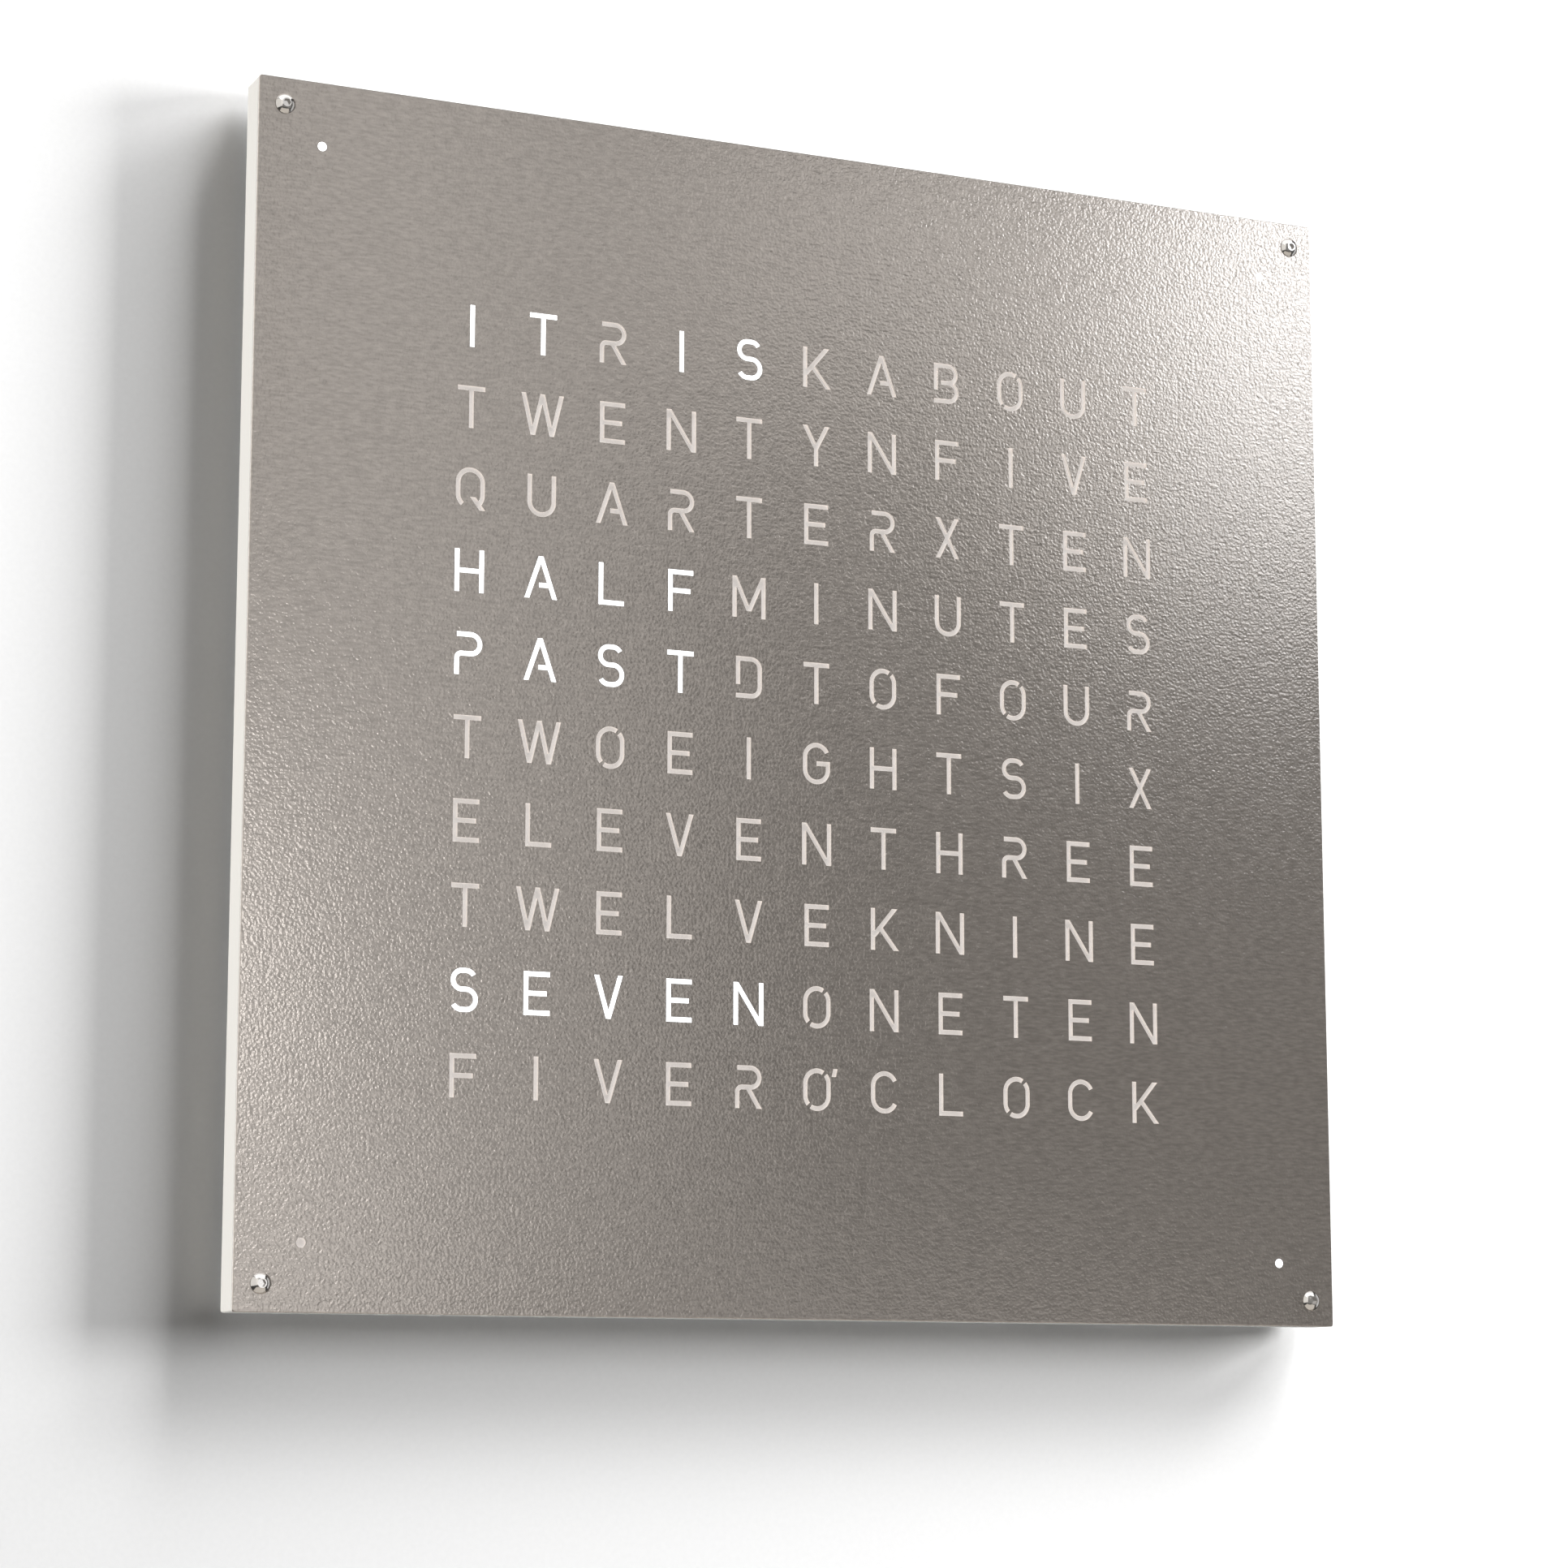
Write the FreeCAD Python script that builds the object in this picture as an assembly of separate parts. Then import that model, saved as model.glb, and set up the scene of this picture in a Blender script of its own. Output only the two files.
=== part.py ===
import FreeCAD, Part
import math
import os

# Wall-hung word clock: a brushed steel cover with letters cut through it, lit from behind
# one well at a time, on a shallow lacquered casing that hangs on a wall bracket.
# Millimetres. X to the right seen from the front, +Y into the wall, +Z up.
# Origin: on the wall, at the middle of the bracket's four screws, behind the middle of the cover.

V = FreeCAD.Vector
BACKWARDS = V(0, 1, 0)
UP = V(0, 0, 1)

# ---- overall ----
CLOCK_WIDTH = 450.0
CLOCK_HEIGHT = 450.0
WALL_GAP = 5.0
CASING_DEPTH = 13.8
COVER_THICKNESS = 1.2
COVER_EDGE_BREAK = 0.25
CORNER_ROUND = 1.0

# ---- casing rails ----
RAIL_THICKNESS = 6.0
RAIL_FRONT_BREAK = 0.4
RAIL_BACK_ROUND = 0.8
PANEL_LEDGE = 3.0

# ---- layers behind the cover ----
DIFFUSER_THICKNESS = 1.0
BOARD_THICKNESS = 1.6
SPACER_HEIGHT = 3.7
PANEL_THICKNESS = 1.5
PANEL_CLEARANCE = 0.2

# ---- letters ----
LETTER_ROWS = (
    "ITRISKABOUT",
    "TWENTYNFIVE",
    "QUARTERXTEN",
    "HALFMINUTES",
    "PASTDTOFOUR",
    "TWOEIGHTSIX",
    "ELEVENTHREE",
    "TWELVEKNINE",
    "SEVENONETEN",
    "FIVEROCLOCK",
)
APOSTROPHE_ROW = 9
APOSTROPHE_COLUMN = 5
SIDE_MARGIN = 69.9
TOP_MARGIN = 70.0
CAP_HEIGHT = 16.0
STROKE = 1.8
BRIDGE_WIDTH = 1.3

# Distance from a letter's middle to the centre line of its outermost stroke.
LETTER_HALF_WIDTH = {
    "A": 5.5, "B": 4.5, "C": 4.8, "D": 4.5, "E": 4.2, "F": 4.2, "G": 4.8, "H": 4.8,
    "I": 0.0, "K": 4.6, "L": 4.2, "M": 6.0, "N": 5.2, "O": 4.8, "P": 4.5, "Q": 4.8,
    "R": 4.5, "S": 4.5, "T": 4.5, "U": 4.8, "V": 4.7, "W": 7.6, "X": 4.1, "Y": 4.7,
}
SHORT_ARM = 1.2
OPEN_STEM_GAP = 3.4
BAR_HEIGHT_A = 5.1
BAR_START_A = -0.7
JOIN_HEIGHT_K = 5.0
LEG_HEIGHT_K = 8.6
VERTEX_HEIGHT_M = 2.6
FORK_HEIGHT_Y = 7.0
WAIST_HEIGHT_PR = 7.9
WAIST_HEIGHT_B = 8.3
SHOULDER_RADIUS = 1.8
CORNER_RADIUS_D = 3.6
LEG_START_R = -0.3
FLAT_S = 0.8
TERMINAL_ANGLE_CG = 25.0
TERMINAL_ANGLE_S = 32.0
BRIDGE_ANGLE_O = 50.0
OPENING_ANGLE_Q = 50.0
TAIL_START_Q = 1.0
TAIL_HEIGHT_Q = 4.9
APOSTROPHE_OFFSET = 7.7
APOSTROPHE_LEAN = 0.7
APOSTROPHE_LENGTH = 3.0

# ---- minute dots and cover screws ----
DOT_INSET = 24.4
DOT_RADIUS = 1.75
SCREW_INSET = 10.0
COVER_HOLE_RADIUS = 2.25
SCREW_SHANK_RADIUS = 2.0
SCREW_LENGTH = 8.0
SCREW_HEAD_RADIUS = 3.8
SCREW_HEAD_HEIGHT = 2.2
SCREW_RIM = 0.35
SCREW_FLAT_RADIUS = 1.7
SOCKET_ACROSS_FLATS = 2.5
SOCKET_DEPTH = 1.3
INSERT_RADIUS = 2.8
INSERT_LENGTH = 8.0
INSERT_BORE_RADIUS = 2.05

# ---- corner blocks ----
BLOCK_SIZE = 12.0
BLOCK_LEG_WIDTH = 6.0
BLOCK_LEG_LENGTH = 40.0
NOTCH_CLEARANCE = 0.5
DIFFUSER_CLEARANCE = 0.5

# ---- light grid and LED boards ----
GRID_WALL = 1.6
GRID_CORNER = 1.5
BOARD_MARGIN = 7.75
BOARD_SPLIT_GAP = 0.6
LED_SIZE = 5.0
LED_HEIGHT = 1.4
SPACER_RADIUS = 3.0
BOARD_HOLE_RADIUS = 1.6
BOARD_SCREW_RADIUS = 1.5
BOARD_SCREW_LENGTH = 4.5
BOARD_SCREW_HEAD_RADIUS = 2.75
BOARD_SCREW_HEAD_HEIGHT = 1.2
SCREW_SLOT_WIDTH = 0.7
SCREW_SLOT_LENGTH = 3.0
BOARD_SCREW_INSET = 24.0
DRIVER_LENGTH = 10.0
DRIVER_WIDTH = 6.0
DRIVER_HEIGHT = 1.5
DRIVER_PITCH = 60.0
DRIVER_COLUMNS = 4
DRIVER_INSET = 32.0
CONNECTOR_LENGTH = 14.0
CONNECTOR_WIDTH = 4.5
CONNECTOR_HEIGHT = 2.0
CONNECTOR_INSET = 8.0
FLEX_WIDTH = 11.0
FLEX_THICKNESS = 0.3

# ---- minute dot units ----
DOT_BOARD_SIZE = 12.0
DOT_WELL_RADIUS = 5.5
DOT_WELL_WALL = 1.5
DOT_LEAD_END = 3.0
DOT_LEAD_SAG = 3.0
LEAD_RADIUS = 0.7

# ---- back panel fixings ----
PANEL_SCREW_INSET = 9.0
PANEL_SCREW_FROM_CORNER = 40.0
PANEL_HOLE_RADIUS = 1.6
PANEL_SCREW_RADIUS = 1.5
PANEL_SCREW_LENGTH = 8.0
PANEL_SCREW_HEAD_RADIUS = 2.8
PANEL_SCREW_HEAD_HEIGHT = 1.8
PANEL_SCREW_HEAD_ROUND = 0.6
BUFFER_RADIUS = 7.0
BUFFER_INSET = 42.0
BUFFER_ROUND = 1.0

# ---- wall bracket ----
BRACKET_WIDTH = 240.0
BRACKET_HEIGHT = 150.0
BRACKET_THICKNESS = 1.5
BRACKET_CORNER = 6.0
WALL_SCREW_SPACING_X = 200.0
WALL_SCREW_SPACING_Z = 120.0
WALL_HOLE_RADIUS = 2.5
HOOK_SPACING_X = 160.0
HOOK_SPACING_Z = 80.0
HOOK_WIDTH = 12.0
HOOK_TONGUE = 8.0
HOOK_RUNNING_GAP = 0.3
HOOK_BEND = 1.0
HOOK_SIDE_CLEARANCE = 0.5
LANCE_GAP = 0.4
LIFT_TRAVEL = 9.0
LIFT_CLEARANCE = 0.5

# ---- control board ----
CONTROL_BUTTON_GAP = 18.0
CONTROL_WIDTH = 100.0
CONTROL_HEIGHT = 44.0
CONTROL_TOP_GAP = 3.0
CONTROL_SCREW_INSET = 4.0
CHIP_OFFSET = (2.0, 0.0)
CHIP_SIZE = 12.0
CHIP_HEIGHT = 1.4
CLOCK_CHIP_OFFSET = (2.0, -14.5)
CLOCK_CHIP_LENGTH = 10.0
CLOCK_CHIP_WIDTH = 7.5
CLOCK_CHIP_HEIGHT = 2.3
CRYSTAL_OFFSET = (20.0, -13.0)
CRYSTAL_LENGTH = 11.0
CRYSTAL_WIDTH = 4.5
CRYSTAL_HEIGHT = 3.5
CELL_OFFSET = (-28.0, 0.0)
CELL_RADIUS = 10.0
CELL_THICKNESS = 3.2
CELL_STEP = 0.8
CELL_RIM = 1.2
CELL_HOLDER_RADIUS = 11.5
CELL_HOLDER_FLOOR = 0.8
CELL_CLEARANCE = 0.15
THUMB_GAP = 10.0
CAPACITOR_OFFSETS = ((38.0, 0.0), (38.0, -12.0))
CAPACITOR_RADIUS = 3.15
CAPACITOR_HEIGHT = 5.4
POWER_HEADER_OFFSET = (24.0, 16.0)
POWER_HEADER_LENGTH = 8.0
POWER_HEADER_WIDTH = 5.8
POWER_HEADER_HEIGHT = 5.0

# ---- time signal receiver ----
ROD_Z = -10.0
ROD_RADIUS = 4.0
ROD_LENGTH = 60.0
COIL_RADIUS = 5.0
COIL_LENGTH = 24.0
CLIP_LENGTH = 6.0
CLIP_WALL = 1.5
CLIP_WRAP = 2.0
CLIP_CLEARANCE = 0.05
RECEIVER_WIDTH = 20.0
RECEIVER_HEIGHT = 30.0
RECEIVER_GAP = 12.0
RECEIVER_CHIP = 6.0
RECEIVER_SCREW_INSET = 3.5

# ---- push-buttons and light sensor, in the bottom rail ----
BUTTON_NAMES = ("hour", "minute", "dimmer", "mode")
BUTTON_EDGE_DISTANCE = 57.0
BUTTON_PITCH = 20.0
BUTTON_RADIUS = 3.0
BUTTON_CLEARANCE = 0.2
BUTTON_PROUD = 0.3
BUTTON_CROWN = 0.5
BUTTON_FLANGE_RADIUS = 3.8
BUTTON_FLANGE_THICKNESS = 1.0
BUTTON_STEM_RADIUS = 1.1
BUTTON_TRAVEL = 0.6
SWITCH_SIZE = 6.0
SWITCH_HEIGHT = 5.0
SWITCH_DEPTH = 4.2
SWITCH_RAIL_GAP = 4.5
SWITCH_HOLE_RADIUS = 1.3
SWITCH_STEM_ENTRY = 0.8
SWITCH_STEM_ROOM = 0.3
BUTTON_BOARD_OVERHANG = 10.0
BUTTON_BOARD_HEIGHT = 18.0
BUTTON_BOARD_SCREW_INSET = 4.0
SENSOR_FROM_BUTTON = 20.0
SENSOR_WINDOW_RADIUS = 1.9
SENSOR_WINDOW_CLEARANCE = 0.1
SENSOR_SIZE = 4.0
SENSOR_HEIGHT = 3.0

# ---- power inlet ----
INLET_CONTROL_GAP = 70.0
RECESS_WIDTH = 24.0
RECESS_HEIGHT = 32.0
RECESS_DEPTH = 11.0
RECESS_WALL = 1.5
RECESS_LIP = 2.0
RECESS_RAIL_GAP = 2.5
RECESS_CLEARANCE = 0.2
JACK_BODY_RADIUS = 4.2
JACK_BODY_LENGTH = 10.0
JACK_BARREL_RADIUS = 3.5
JACK_BARREL_LENGTH = 5.5
JACK_BORE_RADIUS = 2.8
JACK_BORE_DEPTH = 9.5
JACK_PIN_RADIUS = 1.05
JACK_PIN_RECESS = 0.5
JACK_CLEARANCE = 0.1
JACK_ROOM = 0.5
NUT_ACROSS_FLATS = 9.0
NUT_HEIGHT = 2.0
TAG_WIDTH = 2.0
TAG_THICKNESS = 0.4
TAG_LENGTH = 3.5
TAG_OFFSET = 2.6
POWER_LEAD_RADIUS = 0.8
POWER_LEAD_DEPTHS = (2.2, 4.1)

# ---- levels and places worked out from the sizes above ----
CASING_BACK = -WALL_GAP
CASING_FRONT = CASING_BACK - CASING_DEPTH
COVER_FRONT = CASING_FRONT - COVER_THICKNESS
DIFFUSER_BACK = CASING_FRONT + DIFFUSER_THICKNESS
PANEL_FRONT = CASING_BACK - PANEL_THICKNESS
BOARD_BACK = PANEL_FRONT - SPACER_HEIGHT
BOARD_FRONT = BOARD_BACK - BOARD_THICKNESS

HALF_WIDTH = CLOCK_WIDTH / 2
HALF_HEIGHT = CLOCK_HEIGHT / 2
INNER_HALF_WIDTH = HALF_WIDTH - RAIL_THICKNESS
INNER_HALF_HEIGHT = HALF_HEIGHT - RAIL_THICKNESS
LEDGE_HALF_WIDTH = INNER_HALF_WIDTH + PANEL_LEDGE
LEDGE_HALF_HEIGHT = INNER_HALF_HEIGHT + PANEL_LEDGE
BOTTOM_INSIDE = -INNER_HALF_HEIGHT

COLUMNS = len(LETTER_ROWS[0])
ROWS = len(LETTER_ROWS)
GRID_HALF_WIDTH = HALF_WIDTH - SIDE_MARGIN
GRID_HALF_HEIGHT = HALF_HEIGHT - TOP_MARGIN
COLUMN_PITCH = 2 * GRID_HALF_WIDTH / COLUMNS
ROW_PITCH = 2 * GRID_HALF_HEIGHT / ROWS
BOARD_HALF_WIDTH = GRID_HALF_WIDTH + BOARD_MARGIN
BOARD_HALF_HEIGHT = GRID_HALF_HEIGHT + BOARD_MARGIN
BOARD_SCREW_X = GRID_HALF_WIDTH + BOARD_MARGIN / 2

CORNERS = ((-1, -1), (1, -1), (1, 1), (-1, 1))
SCREW_X = HALF_WIDTH - SCREW_INSET
SCREW_Z = HALF_HEIGHT - SCREW_INSET
DOT_X = HALF_WIDTH - DOT_INSET
DOT_Z = HALF_HEIGHT - DOT_INSET

CAP_LINE = CAP_HEIGHT - STROKE / 2
BASE_LINE = STROKE / 2
MIDDLE = CAP_HEIGHT / 2

CONTROL_TOP = -BOARD_HALF_HEIGHT - CONTROL_TOP_GAP
CONTROL_MIDDLE = CONTROL_TOP - CONTROL_HEIGHT / 2
SWITCH_BOTTOM = BOTTOM_INSIDE + SWITCH_RAIL_GAP
SWITCH_AXIS_Y = BOARD_FRONT - SWITCH_DEPTH / 2
FIRST_BUTTON = -HALF_WIDTH + BUTTON_EDGE_DISTANCE
BUTTON_PLACES = [FIRST_BUTTON + k * BUTTON_PITCH for k in range(len(BUTTON_NAMES))]
SENSOR_X = BUTTON_PLACES[-1] + SENSOR_FROM_BUTTON
BUTTON_BOARD_LEFT = FIRST_BUTTON - BUTTON_BOARD_OVERHANG
BUTTON_BOARD_RIGHT = SENSOR_X + BUTTON_BOARD_OVERHANG
CONTROL_X = BUTTON_BOARD_RIGHT + CONTROL_BUTTON_GAP + CONTROL_WIDTH / 2
INLET_X = CONTROL_X + CONTROL_WIDTH / 2 + INLET_CONTROL_GAP
ROD_X = -(BOARD_HALF_WIDTH + INNER_HALF_WIDTH) / 2
ROD_Y = (DIFFUSER_BACK + PANEL_FRONT) / 2
RECEIVER_MIDDLE = ROD_Z - ROD_LENGTH / 2 - RECEIVER_GAP - RECEIVER_HEIGHT / 2
RECESS_BOTTOM = BOTTOM_INSIDE + RECESS_RAIL_GAP + RECESS_WALL
RECESS_TOP = RECESS_BOTTOM + RECESS_HEIGHT
RECESS_FRONT = CASING_BACK - RECESS_DEPTH
JACK_Y = PANEL_FRONT - JACK_BODY_RADIUS - JACK_CLEARANCE
JACK_SEAT = RECESS_TOP + RECESS_WALL
JACK_MOUTH = JACK_SEAT - JACK_BARREL_LENGTH
JACK_TOP = JACK_SEAT + JACK_BODY_LENGTH

# How far an edge or a face may lie off a plane and still be picked as lying on it.
PICK = 1e-3


# ---- solids that are used over and over ----
def block(x0, x1, y0, y1, z0, z1):
    """A box between two corners."""
    return Part.makeBox(x1 - x0, y1 - y0, z1 - z0, V(x0, y0, z0))


def slab(x, z, width, height, y0, y1):
    """A box centred on (x, z), from y0 back to y1."""
    return block(x - width / 2, x + width / 2, y0, y1, z - height / 2, z + height / 2)


def pin(x, z, radius, y0, y1):
    """A cylinder along Y."""
    return Part.makeCylinder(radius, y1 - y0, V(x, y0, z), BACKWARDS)


def post(x, y, radius, z0, z1):
    """A cylinder along Z."""
    return Part.makeCylinder(radius, z1 - z0, V(x, y, z0), UP)


def group(solids):
    """Separate solids that share one node."""
    return Part.makeCompound(solids)


def polygon(points):
    """The closed wire through the points."""
    return Part.makePolygon(points + points[:1])


def plate_outline(half_width, half_height, radius):
    """The wire of a rectangle with round corners, in the plane Y = 0."""
    turn = radius * (1 - math.sqrt(0.5))
    arcs = []
    for sx, sz in CORNERS:
        on_side = V(sx * half_width, 0, sz * (half_height - radius))
        on_end = V(sx * (half_width - radius), 0, sz * half_height)
        mid = V(sx * (half_width - turn), 0, sz * (half_height - turn))
        first, last = (on_side, on_end) if sx == sz else (on_end, on_side)
        arcs.append((first, mid, last))
    edges = []
    for arc, following in zip(arcs, arcs[1:] + arcs[:1]):
        edges.append(Part.Arc(*arc).toShape())
        edges.append(Part.LineSegment(arc[2], following[0]).toShape())
    return Part.Wire(edges)


def round_wire(x, z, radius):
    """A circle in the plane Y = 0."""
    return Part.Wire(Part.Circle(V(x, 0, z), BACKWARDS, radius).toShape())


def cut_plate(outer, holes, y0, thickness):
    """A plate from y0 back by its thickness, with the given outline and holes."""
    face = Part.makeFace([outer] + holes, "Part::FaceMakerBullseye")
    face.translate(V(0, y0, 0))
    return face.extrude(BACKWARDS * thickness)


def rim_edges(solid, y):
    """The outer edges of the flat face at y."""
    edges = []
    for face in solid.Faces:
        box = face.BoundBox
        if box.YLength < PICK and abs(box.YMin - y) < PICK:
            edges += face.OuterWire.Edges
    return edges


def tube(name, points, radius):
    """A round lead along straight runs joined by tangent arcs."""
    here = points[0]
    edges = []
    radii = []
    for before, at, after in zip(points, points[1:], points[2:]):
        run_in, run_out = at - before, after - at
        half_turn = run_in.getAngle(run_out) / 2
        back = 0.45 * min(run_in.Length, run_out.Length)
        arc_radius = back / math.tan(half_turn)
        first = at - run_in.normalize() * back
        last = at + run_out.normalize() * back
        bisector = (run_out - run_in).normalize()
        centre = at + bisector * math.hypot(arc_radius, back)
        edges.append(Part.LineSegment(here, first).toShape())
        edges.append(Part.Arc(first, centre - bisector * arc_radius, last).toShape())
        radii.append(arc_radius)
        here = last
    edges.append(Part.LineSegment(here, points[-1]).toShape())
    path = Part.Wire(edges)
    section = Part.Wire(Part.Circle(points[0], points[1] - points[0], radius).toShape())
    solid = path.makePipeShell([section], True, False)
    share = solid.Volume / (math.pi * radius ** 2 * path.Length)
    print(f"{name}: length {path.Length:.1f}, tightest arc {min(radii):.1f}, volume share {share:.3f}")
    return solid


def cross_slot(x, z, y0, y1):
    """The two crossed slots of a screw's drive."""
    across = slab(x, z, SCREW_SLOT_LENGTH, SCREW_SLOT_WIDTH, y0, y1)
    return across.fuse(slab(x, z, SCREW_SLOT_WIDTH, SCREW_SLOT_LENGTH, y0, y1))


# ---- strokes of the letters, as faces in the plane Y = 0 ----
def outline(points):
    """A face from its corners (x, z)."""
    return Part.Face(polygon([V(x, 0, z) for x, z in points]))


def stem(x, low=0.0, high=CAP_HEIGHT):
    """An upright stroke about the line at x."""
    half = STROKE / 2
    return outline([(x - half, low), (x + half, low), (x + half, high), (x - half, high)])


def arm(z, left, right):
    """A level stroke about the line at z."""
    half = STROKE / 2
    return outline([(left, z - half), (right, z - half), (right, z + half), (left, z + half)])


def slant(x0, z0, x1, z1):
    """A leaning stroke with level ends."""
    half = STROKE / 2 * math.hypot(x1 - x0, z1 - z0) / abs(z1 - z0)
    return outline([(x0 - half, z0), (x0 + half, z0), (x1 + half, z1), (x1 - half, z1)])


def bend(x, z, radius, start, end):
    """A round stroke about an arc, between two angles in degrees from +X towards +Z."""

    def at(distance, degrees):
        angle = math.radians(degrees)
        return V(x + distance * math.cos(angle), 0, z + distance * math.sin(angle))

    outer, inner = radius + STROKE / 2, radius - STROKE / 2
    middle = (start + end) / 2
    edges = [
        Part.Arc(at(outer, start), at(outer, middle), at(outer, end)),
        Part.LineSegment(at(outer, end), at(inner, end)),
        Part.Arc(at(inner, end), at(inner, middle), at(inner, start)),
        Part.LineSegment(at(inner, start), at(outer, start)),
    ]
    return Part.Face(Part.Wire([edge.toShape() for edge in edges]))


def trimmed(stroke, left, right):
    """The part of a stroke between two uprights."""
    keep = outline([(left, 0), (right, 0), (right, CAP_HEIGHT), (left, CAP_HEIGHT)])
    return stroke.common(keep).Faces[0]


# ---- the letters, about their middle and up from their base line; s is the half width ----
def letter_a(s):
    leg_at_bar = s * (1 - BAR_HEIGHT_A / CAP_HEIGHT)
    legs = [slant(-s, 0, 0, CAP_HEIGHT), slant(s, 0, 0, CAP_HEIGHT)]
    return legs + [arm(BAR_HEIGHT_A, BAR_START_A, leg_at_bar)]


def letter_b(s):
    upper = (CAP_LINE - WAIST_HEIGHT_B) / 2
    lower = (WAIST_HEIGHT_B - BASE_LINE) / 2
    return [
        stem(-s, STROKE + OPEN_STEM_GAP, CAP_HEIGHT),
        arm(CAP_LINE, -s, s - lower),
        bend(s - lower, CAP_LINE - upper, upper, -90, 90),
        arm(WAIST_HEIGHT_B, -s + STROKE / 2 + BRIDGE_WIDTH, s - lower),
        bend(s - lower, BASE_LINE + lower, lower, -90, 90),
        arm(BASE_LINE, -s - STROKE / 2, s - lower),
    ]


def letter_c(s):
    return [
        bend(0, CAP_LINE - s, s, TERMINAL_ANGLE_CG, 180),
        stem(-s, BASE_LINE + s, CAP_LINE - s),
        bend(0, BASE_LINE + s, s, 180, 360 - TERMINAL_ANGLE_CG),
    ]


def letter_d(s):
    turn = s - CORNER_RADIUS_D
    return [
        stem(-s, STROKE + OPEN_STEM_GAP, CAP_HEIGHT),
        arm(CAP_LINE, -s, turn),
        bend(turn, CAP_LINE - CORNER_RADIUS_D, CORNER_RADIUS_D, 0, 90),
        stem(s, BASE_LINE + CORNER_RADIUS_D, CAP_LINE - CORNER_RADIUS_D),
        bend(turn, BASE_LINE + CORNER_RADIUS_D, CORNER_RADIUS_D, 270, 360),
        arm(BASE_LINE, -s - STROKE / 2, turn),
    ]


def letter_e(s):
    return letter_f(s) + [arm(BASE_LINE, -s, s + STROKE / 2)]


def letter_f(s):
    end = s + STROKE / 2
    return [stem(-s), arm(CAP_LINE, -s, end), arm(MIDDLE, -s, end - SHORT_ARM)]


def letter_g(s):
    return [
        bend(0, CAP_LINE - s, s, TERMINAL_ANGLE_CG, 180),
        stem(-s, BASE_LINE + s, CAP_LINE - s),
        bend(0, BASE_LINE + s, s, 180, 360),
        stem(s, BASE_LINE + s, MIDDLE + STROKE / 2),
        arm(MIDDLE, 0, s),
    ]


def letter_h(s):
    return [stem(-s), stem(s), arm(MIDDLE, -s, s)]


def letter_i(s):
    return [stem(s)]


def letter_k(s):
    rise = (LEG_HEIGHT_K - JOIN_HEIGHT_K) / (CAP_HEIGHT - JOIN_HEIGHT_K)
    upper = trimmed(slant(s, CAP_HEIGHT, -s, JOIN_HEIGHT_K), -s, s + 2 * STROKE)
    leg = slant(-s + 2 * s * rise, LEG_HEIGHT_K, s + STROKE / 3, 0)
    return [stem(-s), upper, leg]


def letter_l(s):
    return [stem(-s), arm(BASE_LINE, -s, s + STROKE / 2)]


def letter_m(s):
    edge = s + STROKE / 2
    down = [slant(side * s, CAP_HEIGHT, 0, VERTEX_HEIGHT_M) for side in (-1, 1)]
    return [stem(-s), stem(s)] + [trimmed(stroke, -edge, edge) for stroke in down]


def letter_n(s):
    edge = s + STROKE / 2
    return [stem(-s), stem(s), trimmed(slant(-s, CAP_HEIGHT, s, 0), -edge, edge)]


def letter_o(s):
    top, bottom = CAP_LINE - s, BASE_LINE + s
    gap = math.degrees(BRIDGE_WIDTH / 2 / s)
    return [
        bend(0, top, s, BRIDGE_ANGLE_O + gap, 180),
        stem(-s, bottom, top),
        bend(0, bottom, s, 180, 180 + BRIDGE_ANGLE_O - gap),
        bend(0, bottom, s, 180 + BRIDGE_ANGLE_O + gap, 360),
        stem(s, bottom, top),
        bend(0, top, s, 0, BRIDGE_ANGLE_O - gap),
    ]


def letter_p(s):
    bowl = (CAP_LINE - WAIST_HEIGHT_PR) / 2
    turn = -s + SHOULDER_RADIUS
    return [
        arm(CAP_LINE, -s, s - bowl),
        bend(s - bowl, CAP_LINE - bowl, bowl, -90, 90),
        arm(WAIST_HEIGHT_PR, turn, s - bowl),
        bend(turn, WAIST_HEIGHT_PR - SHOULDER_RADIUS, SHOULDER_RADIUS, 90, 180),
        stem(-s, 0, WAIST_HEIGHT_PR - SHOULDER_RADIUS),
    ]


def letter_q(s):
    top, bottom = CAP_LINE - s, BASE_LINE + s
    return [
        bend(0, bottom, s, 180, 180 + OPENING_ANGLE_Q),
        stem(-s, bottom, top),
        bend(0, top, s, 0, 180),
        stem(s, bottom, top),
        bend(0, bottom, s, -OPENING_ANGLE_Q, 0),
        slant(TAIL_START_Q, TAIL_HEIGHT_Q, s, 0),
    ]


def letter_r(s):
    return letter_p(s) + [slant(LEG_START_R, WAIST_HEIGHT_PR, s, 0)]


def letter_s(s):
    lower = s - FLAT_S
    waist = BASE_LINE + 2 * lower
    upper = (CAP_LINE - waist) / 2
    return [
        bend(FLAT_S, CAP_LINE - upper, upper, TERMINAL_ANGLE_S, 90),
        arm(CAP_LINE, -FLAT_S, FLAT_S),
        bend(-FLAT_S, CAP_LINE - upper, upper, 90, 270),
        arm(waist, -FLAT_S, FLAT_S),
        bend(FLAT_S, BASE_LINE + lower, lower, -90, 90),
        arm(BASE_LINE, -FLAT_S, FLAT_S),
        bend(-FLAT_S, BASE_LINE + lower, lower, 180 + TERMINAL_ANGLE_S, 270),
    ]


def letter_t(s):
    return [stem(0), arm(CAP_LINE, -s - STROKE / 2, s + STROKE / 2)]


def letter_u(s):
    bottom = BASE_LINE + s
    return [stem(-s, bottom), stem(s, bottom), bend(0, bottom, s, 180, 360)]


def letter_v(s):
    return [slant(-s, CAP_HEIGHT, 0, 0), slant(s, CAP_HEIGHT, 0, 0)]


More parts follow.
